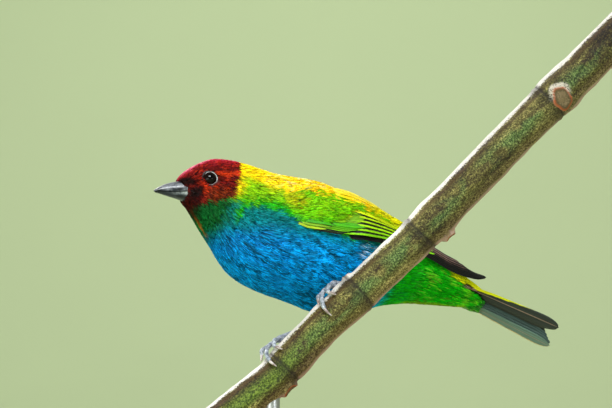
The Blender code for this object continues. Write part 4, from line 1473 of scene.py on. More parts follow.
class Vanes:
    """Gathers flight feathers as thin closed vanes of steps by ranks cells."""

    ranks: int = 6

    def __init__(self, seed: int, steps: int) -> None:
        """Start with no feathers.

        Args:
            seed: Seed of every chance number.
            steps: Cells along a vane.
        """
        self.chance = np.random.default_rng(seed)
        self.steps = steps
        self.weave = Weave()

    def faces(self, size: int) -> Array:
        """Return the triangles of a vane of size points above and size below.

        Args:
            size: Points of one of its two sides.

        Returns:
            Three point numbers for each triangle.
        """
        wide = self.ranks + 1
        index = np.arange(self.steps)[:, None] * wide + np.arange(self.ranks)
        quad = np.stack((index, index + wide, index + wide + 1, index + 1), -1)
        here = np.array([
            *range(wide), *range(2 * wide - 1, size, wide),
            *range(size - 2, size - wide - 1, -1), *range(size - 2 * wide, 0, -wide)])
        onward = np.roll(here, -1)
        return np.concatenate((
            quads(quad), quads(quad[..., ::-1] + size),
            quads(np.stack((here, onward, onward + size, here + size), 1))))

    def add(self, place: Placer, vane: Vane) -> None:
        """Add one feather, placed from shares along, across (-1 to 1) and a height.

        Args:
            place: Gives the feather's points.
            vane: How it looks.
        """
        share = 1.0 - (1.0 - np.linspace(0.0, 1.0, self.steps + 1)) ** 1.4
        rank = np.linspace(-1.0, 1.0, self.ranks + 1)
        along, across = (grid.ravel() for grid in np.meshgrid(share, rank, indexing="ij"))
        wide = across * vane.half(along)
        ragged = self.chance.uniform(-vane.fray, vane.fray * 0.4, self.ranks + 1)
        along = np.clip(along + np.tile(ragged, self.steps + 1) * along ** 3, 0.0, 1.0)
        crown = vane.thickness / 2 * (1.15 - across ** 2)
        shaft = 0.05 * np.clip(1.0 - np.abs(across) * 3.0, 0.0, 1.0) * (1.0 - along * 0.6)
        points = np.concatenate((place(along, wide, crown + shaft), place(along, wide, -crown)))
        count = len(points)
        tuft = np.stack((np.tile(along, 2), np.tile((across + 1) / 2, 2),
                         np.full(count, self.chance.uniform(0.0, 1.0))), 1)
        web, edge = (np.tile(colour, (count, 1)) for colour in vane.colours)
        self.weave.add(points, self.faces(len(along)), np.array(vane.patch) + 0.003 * tuft[:, :2],
                       dye=edge, web=web, tuft=tuft, rim=between(vane.rim, tuft[:, 0]))


@dataclass
class WingDress:
    """The feathers of one folded wing and the arm beneath them."""

    form: FoldedWing
    word: str
    tip_steps: tuple[float, ...] = (0.0, 0.25, -0.15, 0.1, -0.3)
    arm_start: float = -24.3
    arm_length: float = 37.0

    def lay(self, tier: Tier, share: float, number: int) -> Placer:
        """Lay a feather of a tier over the flank.

        Args:
            tier: The row it belongs to.
            share: Its place in the row, from 0 to 1.
            number: Its number in the row.

        Returns:
            The function that places its points.
        """
        step = self.tip_steps[number % len(self.tip_steps)]
        ends = between(tier.root, share), between(tier.tip, share) + step
        shares = between(tier.root_share, share), between(tier.tip_share, share)
        hidden = between(tier.lift, share)
        lifts = hidden + self.form.shingle + 0.012 * number, hidden
        width = tier.width * (1.0 - tier.slim * share)

        def place(along: Array, across: Array, height: Array) -> Array:
            """Return points of the vane.

            Args:
                along: Shares of the length.
                across: Shares of the half width, -1 to 1.
                height: Heights over the feather's middle.

            Returns:
                One point for each place, in millimetres.
            """
            x = between(ends, along)
            low, tall = self.form.span(x)
            z = low + tall * between(shares, along ** 1.3) + across * width / 2
            sunk = 1.9 * np.clip(1.0 - along / 0.26, 0.0, 1.0) ** 1.5
            lift = between(lifts, (across + 1) / 2) - 0.35 * along - sunk
            return self.form.over(x, z, lift + height)

        return place

    def arm(self, along: Array, across: Array, height: Array) -> Array:
        """Return points of the arm under the feathers.

        Args:
            along: Shares of the length.
            across: Shares of the half width, -1 to 1.
            height: Heights over the feather's middle.

        Returns:
            One point for each place, in millimetres.
        """
        x = self.arm_start + self.arm_length * along
        low, tall = self.form.span(x)
        edge = np.maximum(np.abs(across), np.abs(2.0 * along - 1.0))
        return self.form.over(x, low + tall * (0.5 + 0.42 * across), 0.9 - 2.4 * edge ** 4 + height)

    def build(self, material: Material) -> Piece:
        """Build the wing as one joined piece that replaces the wing's node.

        Args:
            material: Its finish.

        Returns:
            The piece.
        """
        vanes = Vanes(40 + self.form.side, 22)
        green = (linear(60, 110, 6), linear(120, 180, 8))
        vanes.add(self.arm, Vane(1.2, green, (0.5, 0.5), (0.9, 0.9), 0.0, 0.7))
        for row, tier in enumerate(TIERS):
            for number in range(tier.count):
                share = number / (tier.count - 1)
                vanes.add(self.lay(tier, share, number), Vane(
                    self.form.thickness, (blend(tier.web, share), blend(tier.edge, share)),
                    (between(tier.rim, share),) * 2, (0.01 + 0.06 * row, 0.9 - 0.02 * number),
                    tier.fray, tier.point))
        return vanes.weave.build(f"wing_feathers_{self.word}", material, "green_feathers",
                                 f"wing_{self.word}")


@dataclass
class TailDress:
    """Twelve tail feathers in a narrow, notched fan, with the coverts over their roots."""

    root: Point = (43.0, -0.5, -15.2)
    slope: float = 31.0
    bend: float = 19.5
    twist: float = -28.5
    length: float = 33.0
    lengths: tuple[float, ...] = (29.0, 29.6, 30.4, 31.3, 32.2, 32.5)
    root_fan: Pair = (0.5, 0.55)
    tip_fan: Pair = (0.9, 0.78)
    vane: float = 2.6
    covert_vane: float = 1.25
    covert_rows: tuple[float, ...] = (8.6, 7.8, 7.0, 6.2)
    covert_least: float = 2.4
    slate: Tone = (84, 106, 110)
    dusk: Tone = (46, 54, 52)
    sheen: Tone = (60, 92, 96)
    steel: Tone = (98, 126, 120)
    tan: Tone = (206, 178, 124)
    sun: Tone = (226, 232, 10)
    leaf: Tone = (10, 140, 8)
    spring: Tone = (70, 168, 14)

    def point(self, along: Array, across: Array, lift: Array) -> Array:
        """Return points at millimetres from the root, to the right and over the fan.

        Args:
            along: Millimetres from its root.
            across: Millimetres to its right.
            lift: Heights over its middle plane.

        Returns:
            One point for each place, in millimetres.
        """
        slope = math.radians(self.slope)
        sway = Matrix.Rotation(math.radians(-self.bend), 3, "Z")
        direction = sway @ Vector((math.cos(slope), 0.0, -math.sin(slope)))
        turn = Matrix.Rotation(math.radians(self.twist), 3, direction)
        sideways = turn @ sway @ Vector((0.0, 1.0, 0.0))
        return (np.array(self.root) + np.outer(along, direction) + np.outer(across, sideways)
                + np.outer(lift, direction.cross(sideways)))

    def lay(self, side: int, number: float, length: float, width: float, lift: float) -> Placer:
        """Lay one feather into the fan.

        Args:
            side: 1 for the right half, -1 for the left.
            number: Its place from the middle outward.
            length: Its length.
            width: Half its width.
            lift: Its height over the fan's middle plane.

        Returns:
            The function that places its points.
        """
        ends = [side * (fan[0] + fan[1] * number) for fan in (self.root_fan, self.tip_fan)]
        depth = lift - 0.34 * number - (0.16 if side < 0 else 0.0)

        def place(along: Array, across: Array, height: Array) -> Array:
            """Return points of the vane, whose outer web is the second half of across.

            Args:
                along: Shares of the length.
                across: Shares of the half width, -1 to 1.
                height: Heights over the feather's middle.

            Returns:
                One point for each place, in millimetres.
            """
            reach = length * along
            half = width * (0.62 + 0.38 * along)
            return self.point(reach, between(ends, reach / self.length) - side * across * half,
                              depth - 0.26 * across + height)

        return place

    def colours(self, side: int, number: int) -> tuple[Tone, Tone, Pair]:
        """Return the web, the edge and the rim of a tail feather.

        Args:
            side: 1 for the right half, -1 for the left.
            number: Its place from the middle outward.

        Returns:
            The tones of web and edge, and the edge's shares.
        """
        if number < len(self.lengths) - 1:
            web = self.dusk if number < 2 or side < 0 else self.slate
            return web, self.sheen, (0.16, 0.1)
        if side < 0:
            return self.dusk, self.sun, (0.42, -0.2)
        return self.steel, self.tan, (0.1, 0.06)

    def add_coverts(self, vanes: Vanes) -> None:
        """Lay rows of short green coverts over and under the feathers' roots.

        Args:
            vanes: Gathers them.
        """
        last = len(self.lengths) - 1
        rows = enumerate(self.covert_rows)
        for over, (row, reach) in product((1.0, -2.0), rows):
            for number, (side, fall) in product(range(last + 1), ((1, 0.1), (-1, 1.0))):
                if reach < fall * number + self.covert_least:
                    continue
                lift = over + (0.24 * row - 0.1) * math.copysign(1.0, over)
                place = self.lay(side, 0.85 * number, reach - fall * number - 0.4 * (row % 2),
                                 self.covert_vane, lift)
                tint = blend((self.leaf, self.spring), number / last)
                patch = (0.5 + 0.1 * (row + number) % 0.5, 0.7 + 0.05 * number % 0.3)
                vanes.add(place, Vane(0.14, (linear(*self.leaf), tint), (0.6, 0.9), patch, 0.34,
                                      0.62))

    def build(self, material: Material) -> Piece:
        """Build the tail as one joined piece that replaces the tail's node.

        Args:
            material: Its finish.

        Returns:
            The piece.
        """
        vanes = Vanes(71, 26)
        for number, length in enumerate(self.lengths):
            for side in (1, -1):
                web, edge, rim = self.colours(side, number)
                vanes.add(self.lay(side, number, length, self.vane, 0.0), Vane(
                    0.12, (linear(*web), linear(*edge)), rim,
                    (0.6 + 0.03 * number, 0.6 + 0.02 * side), 0.015, 0.78))
        self.add_coverts(vanes)
        return vanes.weave.build("tail_feathers", material, "tail_feathers", "tail")


@dataclass
class Plumage:
    """The skin of trunk and thighs and the coat of tufts that grows on it."""

    depth: float = 0.85
    thigh_depth: float = 0.5
    sides: int = 120
    face: TuftSize = TuftSize(2.0, 0.95, 0.62, 5, 0.22, 0.5, 0.08, 0.14)
    hood: TuftSize = TuftSize(2.9, 1.25, 0.78, 5, 0.26, 0.6, 0.08, 0.12)
    nape: TuftSize = TuftSize(4.0, 1.7, 1.0, 6, 0.3, 0.75, 0.12, 0.12)
    body: TuftSize = TuftSize(5.4, 2.3, 1.28, 7, 0.36, 0.85, 0.14, 0.16)
    rump: TuftSize = TuftSize(6.2, 2.3, 1.3, 7, 0.36, 0.85, 0.1, 0.1)
    leg: TuftSize = TuftSize(3.2, 1.5, 1.0, 6, 0.3, 0.6, 0.08, 0.12)
    covert: TuftSize = TuftSize(4.4, 1.7, 1.0, 6, 0.32, 0.7, 0.14, 0.1)
    wing: FoldedWing = FoldedWing(1)
    bill: Table = (
        (-60.0, 16.0, 14.5, 0.3), (-56.2, 15.0, 14.4, 0.35), (-53.0, 16.8, 13.4, 1.7),
        (-49.3, 17.65, 12.4, 2.9), (-47.6, 17.7, 11.9, 3.8), (-46.6, 16.5, 11.9, 4.4),
        (-45.4, 15.3, 12.3, 5.2), (-44.7, 14.0, 13.2, 5.4), (-44.5, 13.7, 13.6, 0.1),
        (-40.0, 13.7, 13.6, 0.1),
    )
    bill_end: float = -44.5
    clearance: float = 0.1

    def bare(self, spots: Array) -> Array:
        """Tell which places lie on the bill or round the eyes, where nothing grows.

        Args:
            spots: Points in the bird's frame.

        Returns:
            Truth values.
        """
        x, y, z = spots.T
        top, low, half = (along_table(self.bill, x, column) for column in (1, 2, 3))
        tall = (top - low) / 2 + self.clearance
        horn = (y / (half + self.clearance)) ** 2 + ((z - (top + low) / 2) / tall) ** 2 < 1.0
        ring = (np.hypot(x - EYES.x, z - EYES.z) < EYES.lid + 0.42) & (np.abs(y) > 3.0)
        return (horn & (x < self.bill_end)) | ring

    def room(self, spots: Array) -> Array:
        """Shorten tufts that would reach over an eye or past the tail's root.

        Args:
            spots: Points in the bird's frame.

        Returns:
            Shares of a tuft's length.
        """
        x, y, z = spots.T
        offset = np.abs(z - EYES.z)
        reach = EYES.lid + 0.32
        edge = EYES.x - np.sqrt(np.maximum(0.0, reach ** 2 - offset ** 2))
        before = (x < EYES.x) & (offset < reach) & (np.abs(y) > 3.0)
        free = np.where(before, (edge - x) / 2.1, 1.0)
        return np.clip(free, 0.3, 1.0) * np.clip((48.0 - x) / 5.5, 0.35, 1.0)

    def under_wing(self, spots: Array) -> Array:
        """Tell which places lie well under a folded wing.

        Args:
            spots: Points in the bird's frame.

        Returns:
            Truth values.
        """
        x, y, z = spots.T
        low, tall = self.wing.span(x)
        inside = (z > low + 2.6) & (z < low + tall - 2.2)
        return inside & (x > -17.0) & (x < 45.0) & (np.abs(y) > 3.0)

    def skin(self, material: Material) -> Piece:
        """Build one skin under the coat of head, neck, body and thighs.

        Args:
            material: Its finish.

        Returns:
            The piece.
        """
        weave = Weave()
        forms = [(TRUNK, (0.0, 0.0), 150, self.depth)]
        forms += [(THIGHS[word], THIGH_PATCHES[word], 30, self.thigh_depth) for _, word in SIDES]
        for surface, origin, rings, depth in forms:
            rows = np.linspace(0.0, surface.length, rings)
            turns = np.linspace(0.0, FULL_TURN, self.sides, endpoint=False)
            along, around = (grid.ravel() for grid in np.meshgrid(rows, turns, indexing="ij"))
            points = capped(surface.raised(along, around, -depth), self.sides)
            noise = np.random.default_rng(5).uniform(-0.4, 0.4, len(points))
            home = np.stack((along / surface.length, around % FULL_TURN / FULL_TURN), 1)
            home = np.concatenate((np.array(origin) + home * Coat.patch, [origin, origin]))
            weave.add_rings(points, self.sides, origin, home,
                            dye=MARKINGS.at(points, noise) * 0.45,
                            tuft=np.tile((0.3, 0.5, 0.4), (len(points), 1)))
        skin = weave.build("skin", material, "blue_feathers", "head", "neck", "torso",
                           "thigh_left", "thigh_right")
        for side, _ in SIDES:
            carve(skin, EYES.radius + 0.12, EYES.centre(side), (1.0, 1.0, 1.0), (32, 20))
        return skin

    def coats(self) -> Iterator[Coat]:
        """Yield the coat, region by region, each side a piece of its own.

        Yields:
            The coat of each region.
        """
        regions = (
            ("face", self.face, (0.15, 3.0)), ("hood", self.hood, (3.0, 5.6)),
            ("nape", self.nape, (5.6, 7.6)), ("breast", self.body, (7.6, 10.6)),
            ("belly", self.body, (10.6, 14.0)), ("vent", self.rump, (14.0, 17.4)))
        for (number, (name, size, reach)), (side, word) in product(enumerate(regions), SIDES):
            def keep(spots: Array, _: Array, around: Array, side: int = side) -> Array:
                """Keep the roots of one side that show."""
                return (np.sin(around) * side >= 0) & ~self.bare(spots) & ~self.under_wing(spots)

            yield Coat(f"coat_{name}_{word}", TRUNK, 100 + 10 * number + side, size, reach, keep,
                       self.room)
        for side, word in SIDES:
            sheet = WingSheet(FoldedWing(side))
            yield Coat(f"coat_wing_{word}", sheet, 500 + side, self.covert, (0.0, 0.97),
                       sheet.keep, paint=MARKINGS.folded, origin=(0.0, 0.5))
        for _, word in SIDES:
            yield Coat(f"coat_thigh_{word}", THIGHS[word], 300 + len(word), self.leg, (0.1, 0.86),
                       lambda spots, along, around: np.full(len(spots), True),
                       origin=THIGH_PATCHES[word])


def limb(path: Array, radii: Array, count: int, flat: float = 1.0) -> Array:
    """Return rings of points round a path.

    Args:
        path: Points along the middle.
        radii: A radius for each.
        count: Points in a ring.
        flat: Height of a ring for its width.

    Returns:
        The points, ring by ring.
    """
    heading = np.gradient(path, axis=0)
    heading /= np.linalg.norm(heading, axis=1)[:, None]
    side = np.cross(heading, (0.0, -1.0, 0.0))
    side /= np.linalg.norm(side, axis=1)[:, None] + 1e-9
    other = np.cross(heading, side)
    turn = np.linspace(0, FULL_TURN, count, endpoint=False)[None, :, None]
    ring = np.cos(turn) * side[:, None] * flat + np.sin(turn) * other[:, None]
    return (path[:, None] + ring * radii[:, None, None]).reshape(-1, 3)


@dataclass(frozen=True)
class Face:
    """Eyes with their rings, and the two halves of the bill."""

    bill: Table = (
        (-43.6, 17.6, 11.2, 5.3), (-45.6, 17.8, 11.5, 4.75), (-47.4, 17.9, 11.9, 3.7),
        (-49.3, 17.65, 12.4, 2.8), (-51.0, 17.4, 12.85, 2.2), (-53.0, 16.8, 13.4, 1.65),
        (-54.9, 15.9, 14.0, 1.0), (-56.2, 15.0, 14.4, 0.35),
    )
    mouth: Table = ((-57.0, 14.6), (-44.6, 13.2))
    slit: float = 0.1
    nostril: Point = (-50.3, 2.25, 16.1)
    nostril_radius: float = 0.42
    bulge: float = 0.00012
    lid_steps: int = 96
    lid_sides: int = 12
    bill_steps: int = 56
    bill_sides: int = 40

    def eye(self, side: int, word: str) -> Piece:
        """Build one eyeball, its clear front a little bulged.

        Args:
            side: 1 for the right eye, -1 for the left.
            word: The side's name.

        Returns:
            The piece.
        """
        clear_selection()
        centre = EYES.centre(side)
        axis = (POSE.matrix().to_3x3() @ Vector((0.0, float(side), 0.0))).normalized()
        bpy.ops.mesh.primitive_uv_sphere_add(
            segments=48, ring_count=32, radius=EYES.radius * MM, location=centre,
            rotation=axis.to_track_quat("Z", "Y").to_euler())
        for vert in bpy.context.object.data.vertices:
            front = max(0.0, vert.co.z / (EYES.radius * MM) - 0.72) / 0.28
            vert.co.z += self.bulge * front * front
        finish = EyeFinish(f"eye_gloss_{word}", tuple(centre), tuple(axis)).make()
        return dressed(settled(f"eye_ball_{word}", finish), "eye_gloss", f"eye_{word}")

    def lid(self, side: int, word: str, material: Material) -> Piece:
        """Build the ring of tiny pale scales round one eye.

        Args:
            side: 1 for the right eye, -1 for the left.
            word: The side's name.
            material: Its finish.

        Returns:
            The piece.
        """
        weave = Weave()
        turn = np.linspace(0, FULL_TURN, self.lid_steps, endpoint=False)
        roll = np.linspace(0, FULL_TURN, self.lid_sides, endpoint=False)
        rings = ((EYES.lid, EYES.rim, 1.32, 0.16), (EYES.lid + 0.3, 0.42, 0.72, 0.0))
        for radius, girth, out, bead in rings:
            swell = girth * (1.0 + bead * np.sin(turn * 22) + 0.1 * np.sin(turn * 3 + 1))
            reach = radius + swell[:, None] * np.cos(roll)
            lift = out + 0.13 * np.cos(turn) * radius
            points = np.stack((
                EYES.x + np.cos(turn)[:, None] * reach,
                side * (EYES.y + lift[:, None] + 0.85 * swell[:, None] * np.sin(roll)),
                EYES.z + np.sin(turn)[:, None] * reach), -1).reshape(-1, 3)
            index = np.arange(len(points)).reshape(self.lid_steps, self.lid_sides)
            along = np.roll(index, -1, axis=0)
            corners = (index, along, np.roll(along, -1, 1), np.roll(index, -1, 1))
            weave.add(points, quads(np.stack(corners, -1)), np.full((len(points), 2), 0.95),
                      tuft=np.tile((bead, 0.0, 0.0), (len(points), 1)))
        return weave.build(f"eye_ring_{word}", material, "leg_skin")

    def half(self, upper: bool, material: Material) -> Piece:
        """Build one half of the bill, parted from the other along the mouth.

        Args:
            upper: Whether it is the upper half.
            material: Its finish.

        Returns:
            The piece.
        """
        rows = through(self.bill, np.linspace(0, len(self.bill) - 1, self.bill_steps))
        if upper:
            rows = rows + np.outer(ramp(-54.0, -56.4, rows[:, 0]), (-0.25, 0.0, -0.22, 0.0))
        turn = np.linspace(0, FULL_TURN, self.bill_sides, endpoint=False)
        x, top, low, half = (column[:, None] for column in rows.T)
        roof = np.cos(turn)[None]
        y = half * np.sin(turn) * (1.0 - 0.16 * np.clip(roof, 0, 1) ** 2)
        z = (top + low) / 2 + (top - low) / 2 * roof
        mouth = along_table(self.mouth, x) + 0.12 * np.abs(y) - 0.1
        along = (x + 45.0) / -11.4 + 0 * y
        if upper:
            share = np.clip((z - mouth) / np.maximum(top - mouth, 0.2), 0.0, 1.0)
            z = np.maximum(z, mouth + self.slit)
        else:
            share = np.clip((mouth - z) / np.maximum(mouth - low, 0.2), 0.0, 1.0) * 0.7
            z = np.minimum(z, mouth - self.slit)
            along = along * 0.7 + 0.3
        weave = Weave()
        weave.add_rings(
            np.stack((x + 0 * y, y, z), -1).reshape(-1, 3), self.bill_sides, (0.9, 0.05),
            tuft=np.stack((along, share, roof + 0 * y), -1).reshape(-1, 3))
        word = "upper" if upper else "lower"
        piece = weave.build(f"bill_{word}_horn", material, "bill_horn", f"bill_{word}")
        if upper:
            x, y, z = self.nostril
            for side, _ in SIDES:
                carve(piece, self.nostril_radius, POSE.matrix() @ Vector((x, y * side, z)),
                      (1.5, 1.0, 0.8), (20, 12))
        return piece

    def build(self) -> None:
        """Build eyes, rings and bill."""
        ring = RingFinish("eye_ring").make()
        horn = BillFinish("bill_surface").make()
        for upper in (True, False):
            self.half(upper, horn)
        for side, word in SIDES:
            self.eye(side, word)
            self.lid(side, word, ring)


@dataclass(frozen=True)
class Branch:
    """The cut length of branch, with its scars and knobs; sizes in millimetres."""

    depth: float = -20.0
    route: Table = (
        (-42.0, 19.2), (-36.9, 23.25), (-21.8, 34.95), (-6.75, 51.0), (2.25, 59.25),
        (19.2, 75.2), (50.8, 107.8), (63.7, 120.6), (74.4, 131.1), (84.9, 141.6),
    )
    thin: float = 5.7
    thick: float = 6.2
    swellings: Table = ((-16.0, 0.3, 3.0), (2.0, 0.35, 3.2), (27.0, 0.5, 3.0), (64.5, 0.5, 3.2))
    knobs: Table = (
        (4.6, 4.0, 1.9, 1.1, 0.9), (26.4, 178.0, 2.9, 1.7, 1.5), (63.4, 108.0, 3.5, 2.9, 1.0),
        (-20.6, 176.0, 3.2, 2.2, 1.1),
    )
    facing: float = 150.0
    rings: Table = ((3.4, 8.0), (22.2, -12.0), (60.6, 6.0), (-19.0, 8.0))
    steps: int = 320
    sides: int = 120
    waves: int = 26

    def axis(self, x: Array) -> Array:
        """Return points of the axis at places across the view."""
        return np.stack((x, np.full_like(x, self.depth), along_table(self.route, x)), -1)

    def radius(self, x: Array) -> Array:
        """Return the radius with its swellings.

        Args:
            x: Places across the view.

        Returns:
            Millimetres.
        """
        first, last = self.route[0][0], self.route[-1][0]
        radius = between((self.thin, self.thick), (x - first) / (last - first))
        for place, height, spread in self.swellings:
            radius = radius + height * np.exp(-(((x - place) / spread) ** 2))
        return radius

    def tangent(self, x: Array) -> Array:
        """Return the directions toward the upper end."""
        line = self.axis(x + 4.0) - self.axis(x - 4.0)
        return line / np.linalg.norm(line, axis=-1)[..., None]

    def grip(self, station: float, along: Array, angle: Array, lift: Array) -> Array:
        """Return points over the bark.

        Args:
            station: Place of a foot across the view.
            along: Lengths along the branch from there.
            angle: Degrees from its upper edge toward the viewer.
            lift: Heights over the bark.

        Returns:
            Points in millimetres.
        """
        tangent = self.tangent(np.array([station]))[0]
        x = station + along * tangent[0]
        turn = np.radians(angle)
        outward = np.outer(np.cos(turn), (-tangent[2], 0.0, tangent[0]))
        outward += np.outer(np.sin(turn), (0.0, -1.0, 0.0))
        return self.axis(x) + outward * (self.radius(x) + lift)[:, None]

    def knots(self, x: Array, turn: Array, stretch: Array) -> tuple[Array, Array, Array]:
        """Return the knobs' swelling, their scars and the painted highlight on the upper side of
        their rims.

        Args:
            x: Places across the view.
            turn: Angles round the branch.
            stretch: Length along the branch for a step across the view.

        Returns:
            Heights and two strengths, each with a row for each place.
        """
        swollen, scar, pale = (np.zeros((len(x), len(turn))) for _ in range(3))
        for station, angle, wide, narrow, height in self.knobs:
            off = (x[:, None] - station) * stretch
            lean = (turn - math.radians(angle) + math.pi) % FULL_TURN - math.pi
            away = np.hypot(off, lean * self.thin)
            wind = np.arctan2(lean * self.thin, off)
            away = away * (1.0 + 0.13 * np.sin(2 * wind + 0.6) + 0.06 * np.sin(5 * wind + station))
            swollen += (height - 0.25) * ramp(wide, narrow, away)
            swollen -= 0.35 * ramp(narrow * 0.9, narrow * 0.35, away)
            scar = np.maximum(scar, ramp(narrow * 1.3, narrow * 0.5, away))
            if angle < self.facing:
                # Painted highlight: pale on the upper side of the rim round each scar of a knob
                # that faces the front.
                rim = ramp(0.9, 0.4, np.abs(away - narrow * 1.15))
                pale = np.maximum(pale, rim * ramp(-0.1, 0.7, -np.sin(wind - 0.4)))
        return swollen, scar, pale

    def creases(self, x: Array, turn: Array, stretch: Array) -> tuple[Array, Array]:
        """Return the swelling of the scars that ring the branch and the strength of the painted
        shade in and beside their grooves.

        Args:
            x: Places across the view.
            turn: Angles round the branch.
            stretch: Length along the branch for a step across the view.

        Returns:
            Heights, and strengths of the painted shade, each with a row for each place.
        """
        swollen, crease = (np.zeros((len(x), len(turn))) for _ in range(2))
        for station, tilt in self.rings:
            off = (x[:, None] - station) * stretch
            off = off - math.radians(tilt) * self.thin * np.sin(turn) * 0.6
            swollen += 0.22 * np.exp(-(off / 0.5) ** 2) - 0.16 * np.exp(-((off - 1.1) / 0.4) ** 2)
            # The crease strength is painted shade in the groove and beside the ridge.
            crease = np.maximum(crease, np.exp(-((off - 1.0) / 0.62) ** 2))
            crease = np.maximum(crease, 0.6 * np.exp(-(off / 2.2) ** 2) * (off < 1.0))
        return swollen, crease

    def relief(self, x: Array, turn: Array) -> Array:
        """Return the uneven heights of the bark at places and angles.

        Args:
            x: Places across the view.
            turn: Angles round the branch.

        Returns:
            Millimetres, with a row for each place.
        """
        chance = np.random.default_rng(11)
        relief = np.zeros((len(x), len(turn)))
        for _ in range(self.waves):
            slow = chance.uniform(0.12, 1.3)
            fast = chance.integers(1, 15)
            phase = chance.uniform(0, FULL_TURN, 2)
            height = 0.09 / (0.6 + slow) * chance.uniform(0.4, 1.0)
            relief += height * np.outer(np.sin(x * slow + phase[0]), np.sin(turn * fast + phase[1]))
        return relief

    def build(self, material: Material) -> Piece:
        """Build the branch as one piece that replaces the perch's node.

        Args:
            material: Its finish.

        Returns:
            The piece.
        """
        x = np.linspace(self.route[0][0], self.route[-1][0], self.steps)
        turn = np.linspace(0, FULL_TURN, self.sides, endpoint=False)
        tangent = self.tangent(x)
        upward = np.stack((-tangent[:, 2], np.zeros_like(x), tangent[:, 0]), -1)
        outward = (np.cos(turn)[:, None] * upward[:, None]
                   + np.sin(turn)[:, None] * np.array((0.0, -1.0, 0.0)))
        stretch = 1.0 / tangent[:, 0:1]
        swollen, scar, pale = self.knots(x, turn, stretch)
        ridges, crease = self.creases(x, turn, stretch)
        scar[[0, -1]] = 1.0
        radius = self.radius(x)[:, None] - 0.12 + swollen + ridges + self.relief(x, turn) * 0.6
        points = (self.axis(x)[:, None] + outward * radius[..., None]).reshape(-1, 3)
        weave = Weave(in_model=True)
        # crease holds the painted shade in and beside the ring scars' grooves.
        weave.add_rings(
            points, self.sides, (0.0, 0.0), edge=np.tile(np.cos(turn), self.steps),
            # pale holds the painted highlight on the upper side of the knobs' scar rims.
            scar=scar.ravel(), crease=crease.ravel(), pale=pale.ravel())
        return weave.build("branch_bark", material, "branch_bark", "perch")


BRANCH = Branch()


@dataclass(frozen=True)
class Leg:
    """One shank and foot that grips the branch; sizes in millimetres and degrees."""

    word: str
    station: float
    toes: dict[str, Table]
    toe_radius: float = 0.6
    claw_radius: float = 0.5
    shank_radius: float = 0.85
    toe_steps: int = 90
    toe_sides: int = 18
    claw_steps: int = 40
    claw_sides: int = 14
    shank_steps: int = 140
    shank_sides: int = 20

    def scales(self, share: Array, count: float) -> Array:
        """Return the swelling of overlapping scales along a toe or shank."""
        return 0.055 * (1.0 - (share * count) % 1.0)

    def add_toe(self, foot: Weave, claws: Weave, route: Table) -> None:
        """Add a toe and its claw along a route over the bark.

        Args:
            foot: Gathers the toe.
            claws: Gathers the claw.
            route: Lengths along the branch, degrees round it and heights over it.
        """
        count = 2 * len(route) + 2
        knots = through(route, np.linspace(0, len(route) - 1, count))
        split = count - 4
        path = BRANCH.grip(self.station, *through(knots, np.linspace(0, split, self.toe_steps)).T)
        share = np.linspace(0, 1, self.toe_steps)
        knuckle = 1.0 + 0.13 * np.cos(FULL_TURN * share * split / 3)
        radii = self.toe_radius * (1.06 - 0.2 * share * split / count) * knuckle
        radii = radii + self.scales(share, 11.0)
        radii = radii * np.sqrt(1.0 - 0.75 * np.clip((share - 0.93) / 0.07, 0, 1) ** 2)
        foot.add_rings(limb(path, radii, self.toe_sides), self.toe_sides, (0.1, 0.1),
                       tuft=np.zeros((self.toe_steps * self.toe_sides, 3)))
        nail = np.linspace(split - 0.12, count - 1, self.claw_steps)
        path = BRANCH.grip(self.station, *through(knots, nail).T)
        share = np.linspace(0, 1, self.claw_steps)
        radii = self.claw_radius * (1.0 - share ** 1.5) ** 0.85 + 0.05
        claws.add_rings(
            limb(path, radii, self.claw_sides, 0.85), self.claw_sides, (0.2, 0.1),
            tuft=np.repeat(np.stack((share, share, share), 1), self.claw_sides, 0))

    def add_shank(self, foot: Weave) -> None:
        """Add the shank from the toes' joint to the ankle.

        Args:
            foot: Gathers it.
        """
        one = np.array([0.0])
        joint = BRANCH.grip(self.station, one, one - 20.0, one + 1.2)[0]
        instep = BRANCH.grip(self.station, one + 1.0, one - 33.0, one + 1.9)[0]
        end = np.array(ANKLES[self.word])
        share = np.linspace(0, 1, self.shank_steps)
        path = through(np.array((joint, instep, instep * 0.5 + end * 0.5, end)), share * 3)
        girth = np.interp(share, (0, 0.3, 0.5, 0.8, 1.0), (0.95, 1.0, 0.84, 0.8, 0.98))
        radii = girth * self.shank_radius / 0.85 + self.scales(share, 16.0)
        foot.add_rings(limb(path, radii, self.shank_sides), self.shank_sides, (0.3, 0.1),
                       tuft=np.zeros((self.shank_steps * self.shank_sides, 3)))

    def build(self, skin: Material, horn: Material) -> None:
        """Build the foot with its shank, and its claws.

        Args:
            skin: Finish of foot and shank.
            horn: Finish of the claws.
        """
        foot, claws = Weave(in_model=True), Weave(in_model=True)
        for route in self.toes.values():
            self.add_toe(foot, claws, route)
        self.add_shank(foot)
        foot.build(f"foot_scales_{self.word}", skin, "leg_skin", f"foot_{self.word}",
                   f"tarsus_{self.word}")
        claws.build(f"claws_{self.word}", horn, "claw_horn",
                    *[f"claw_{self.word}_{toe}" for toe in self.toes])


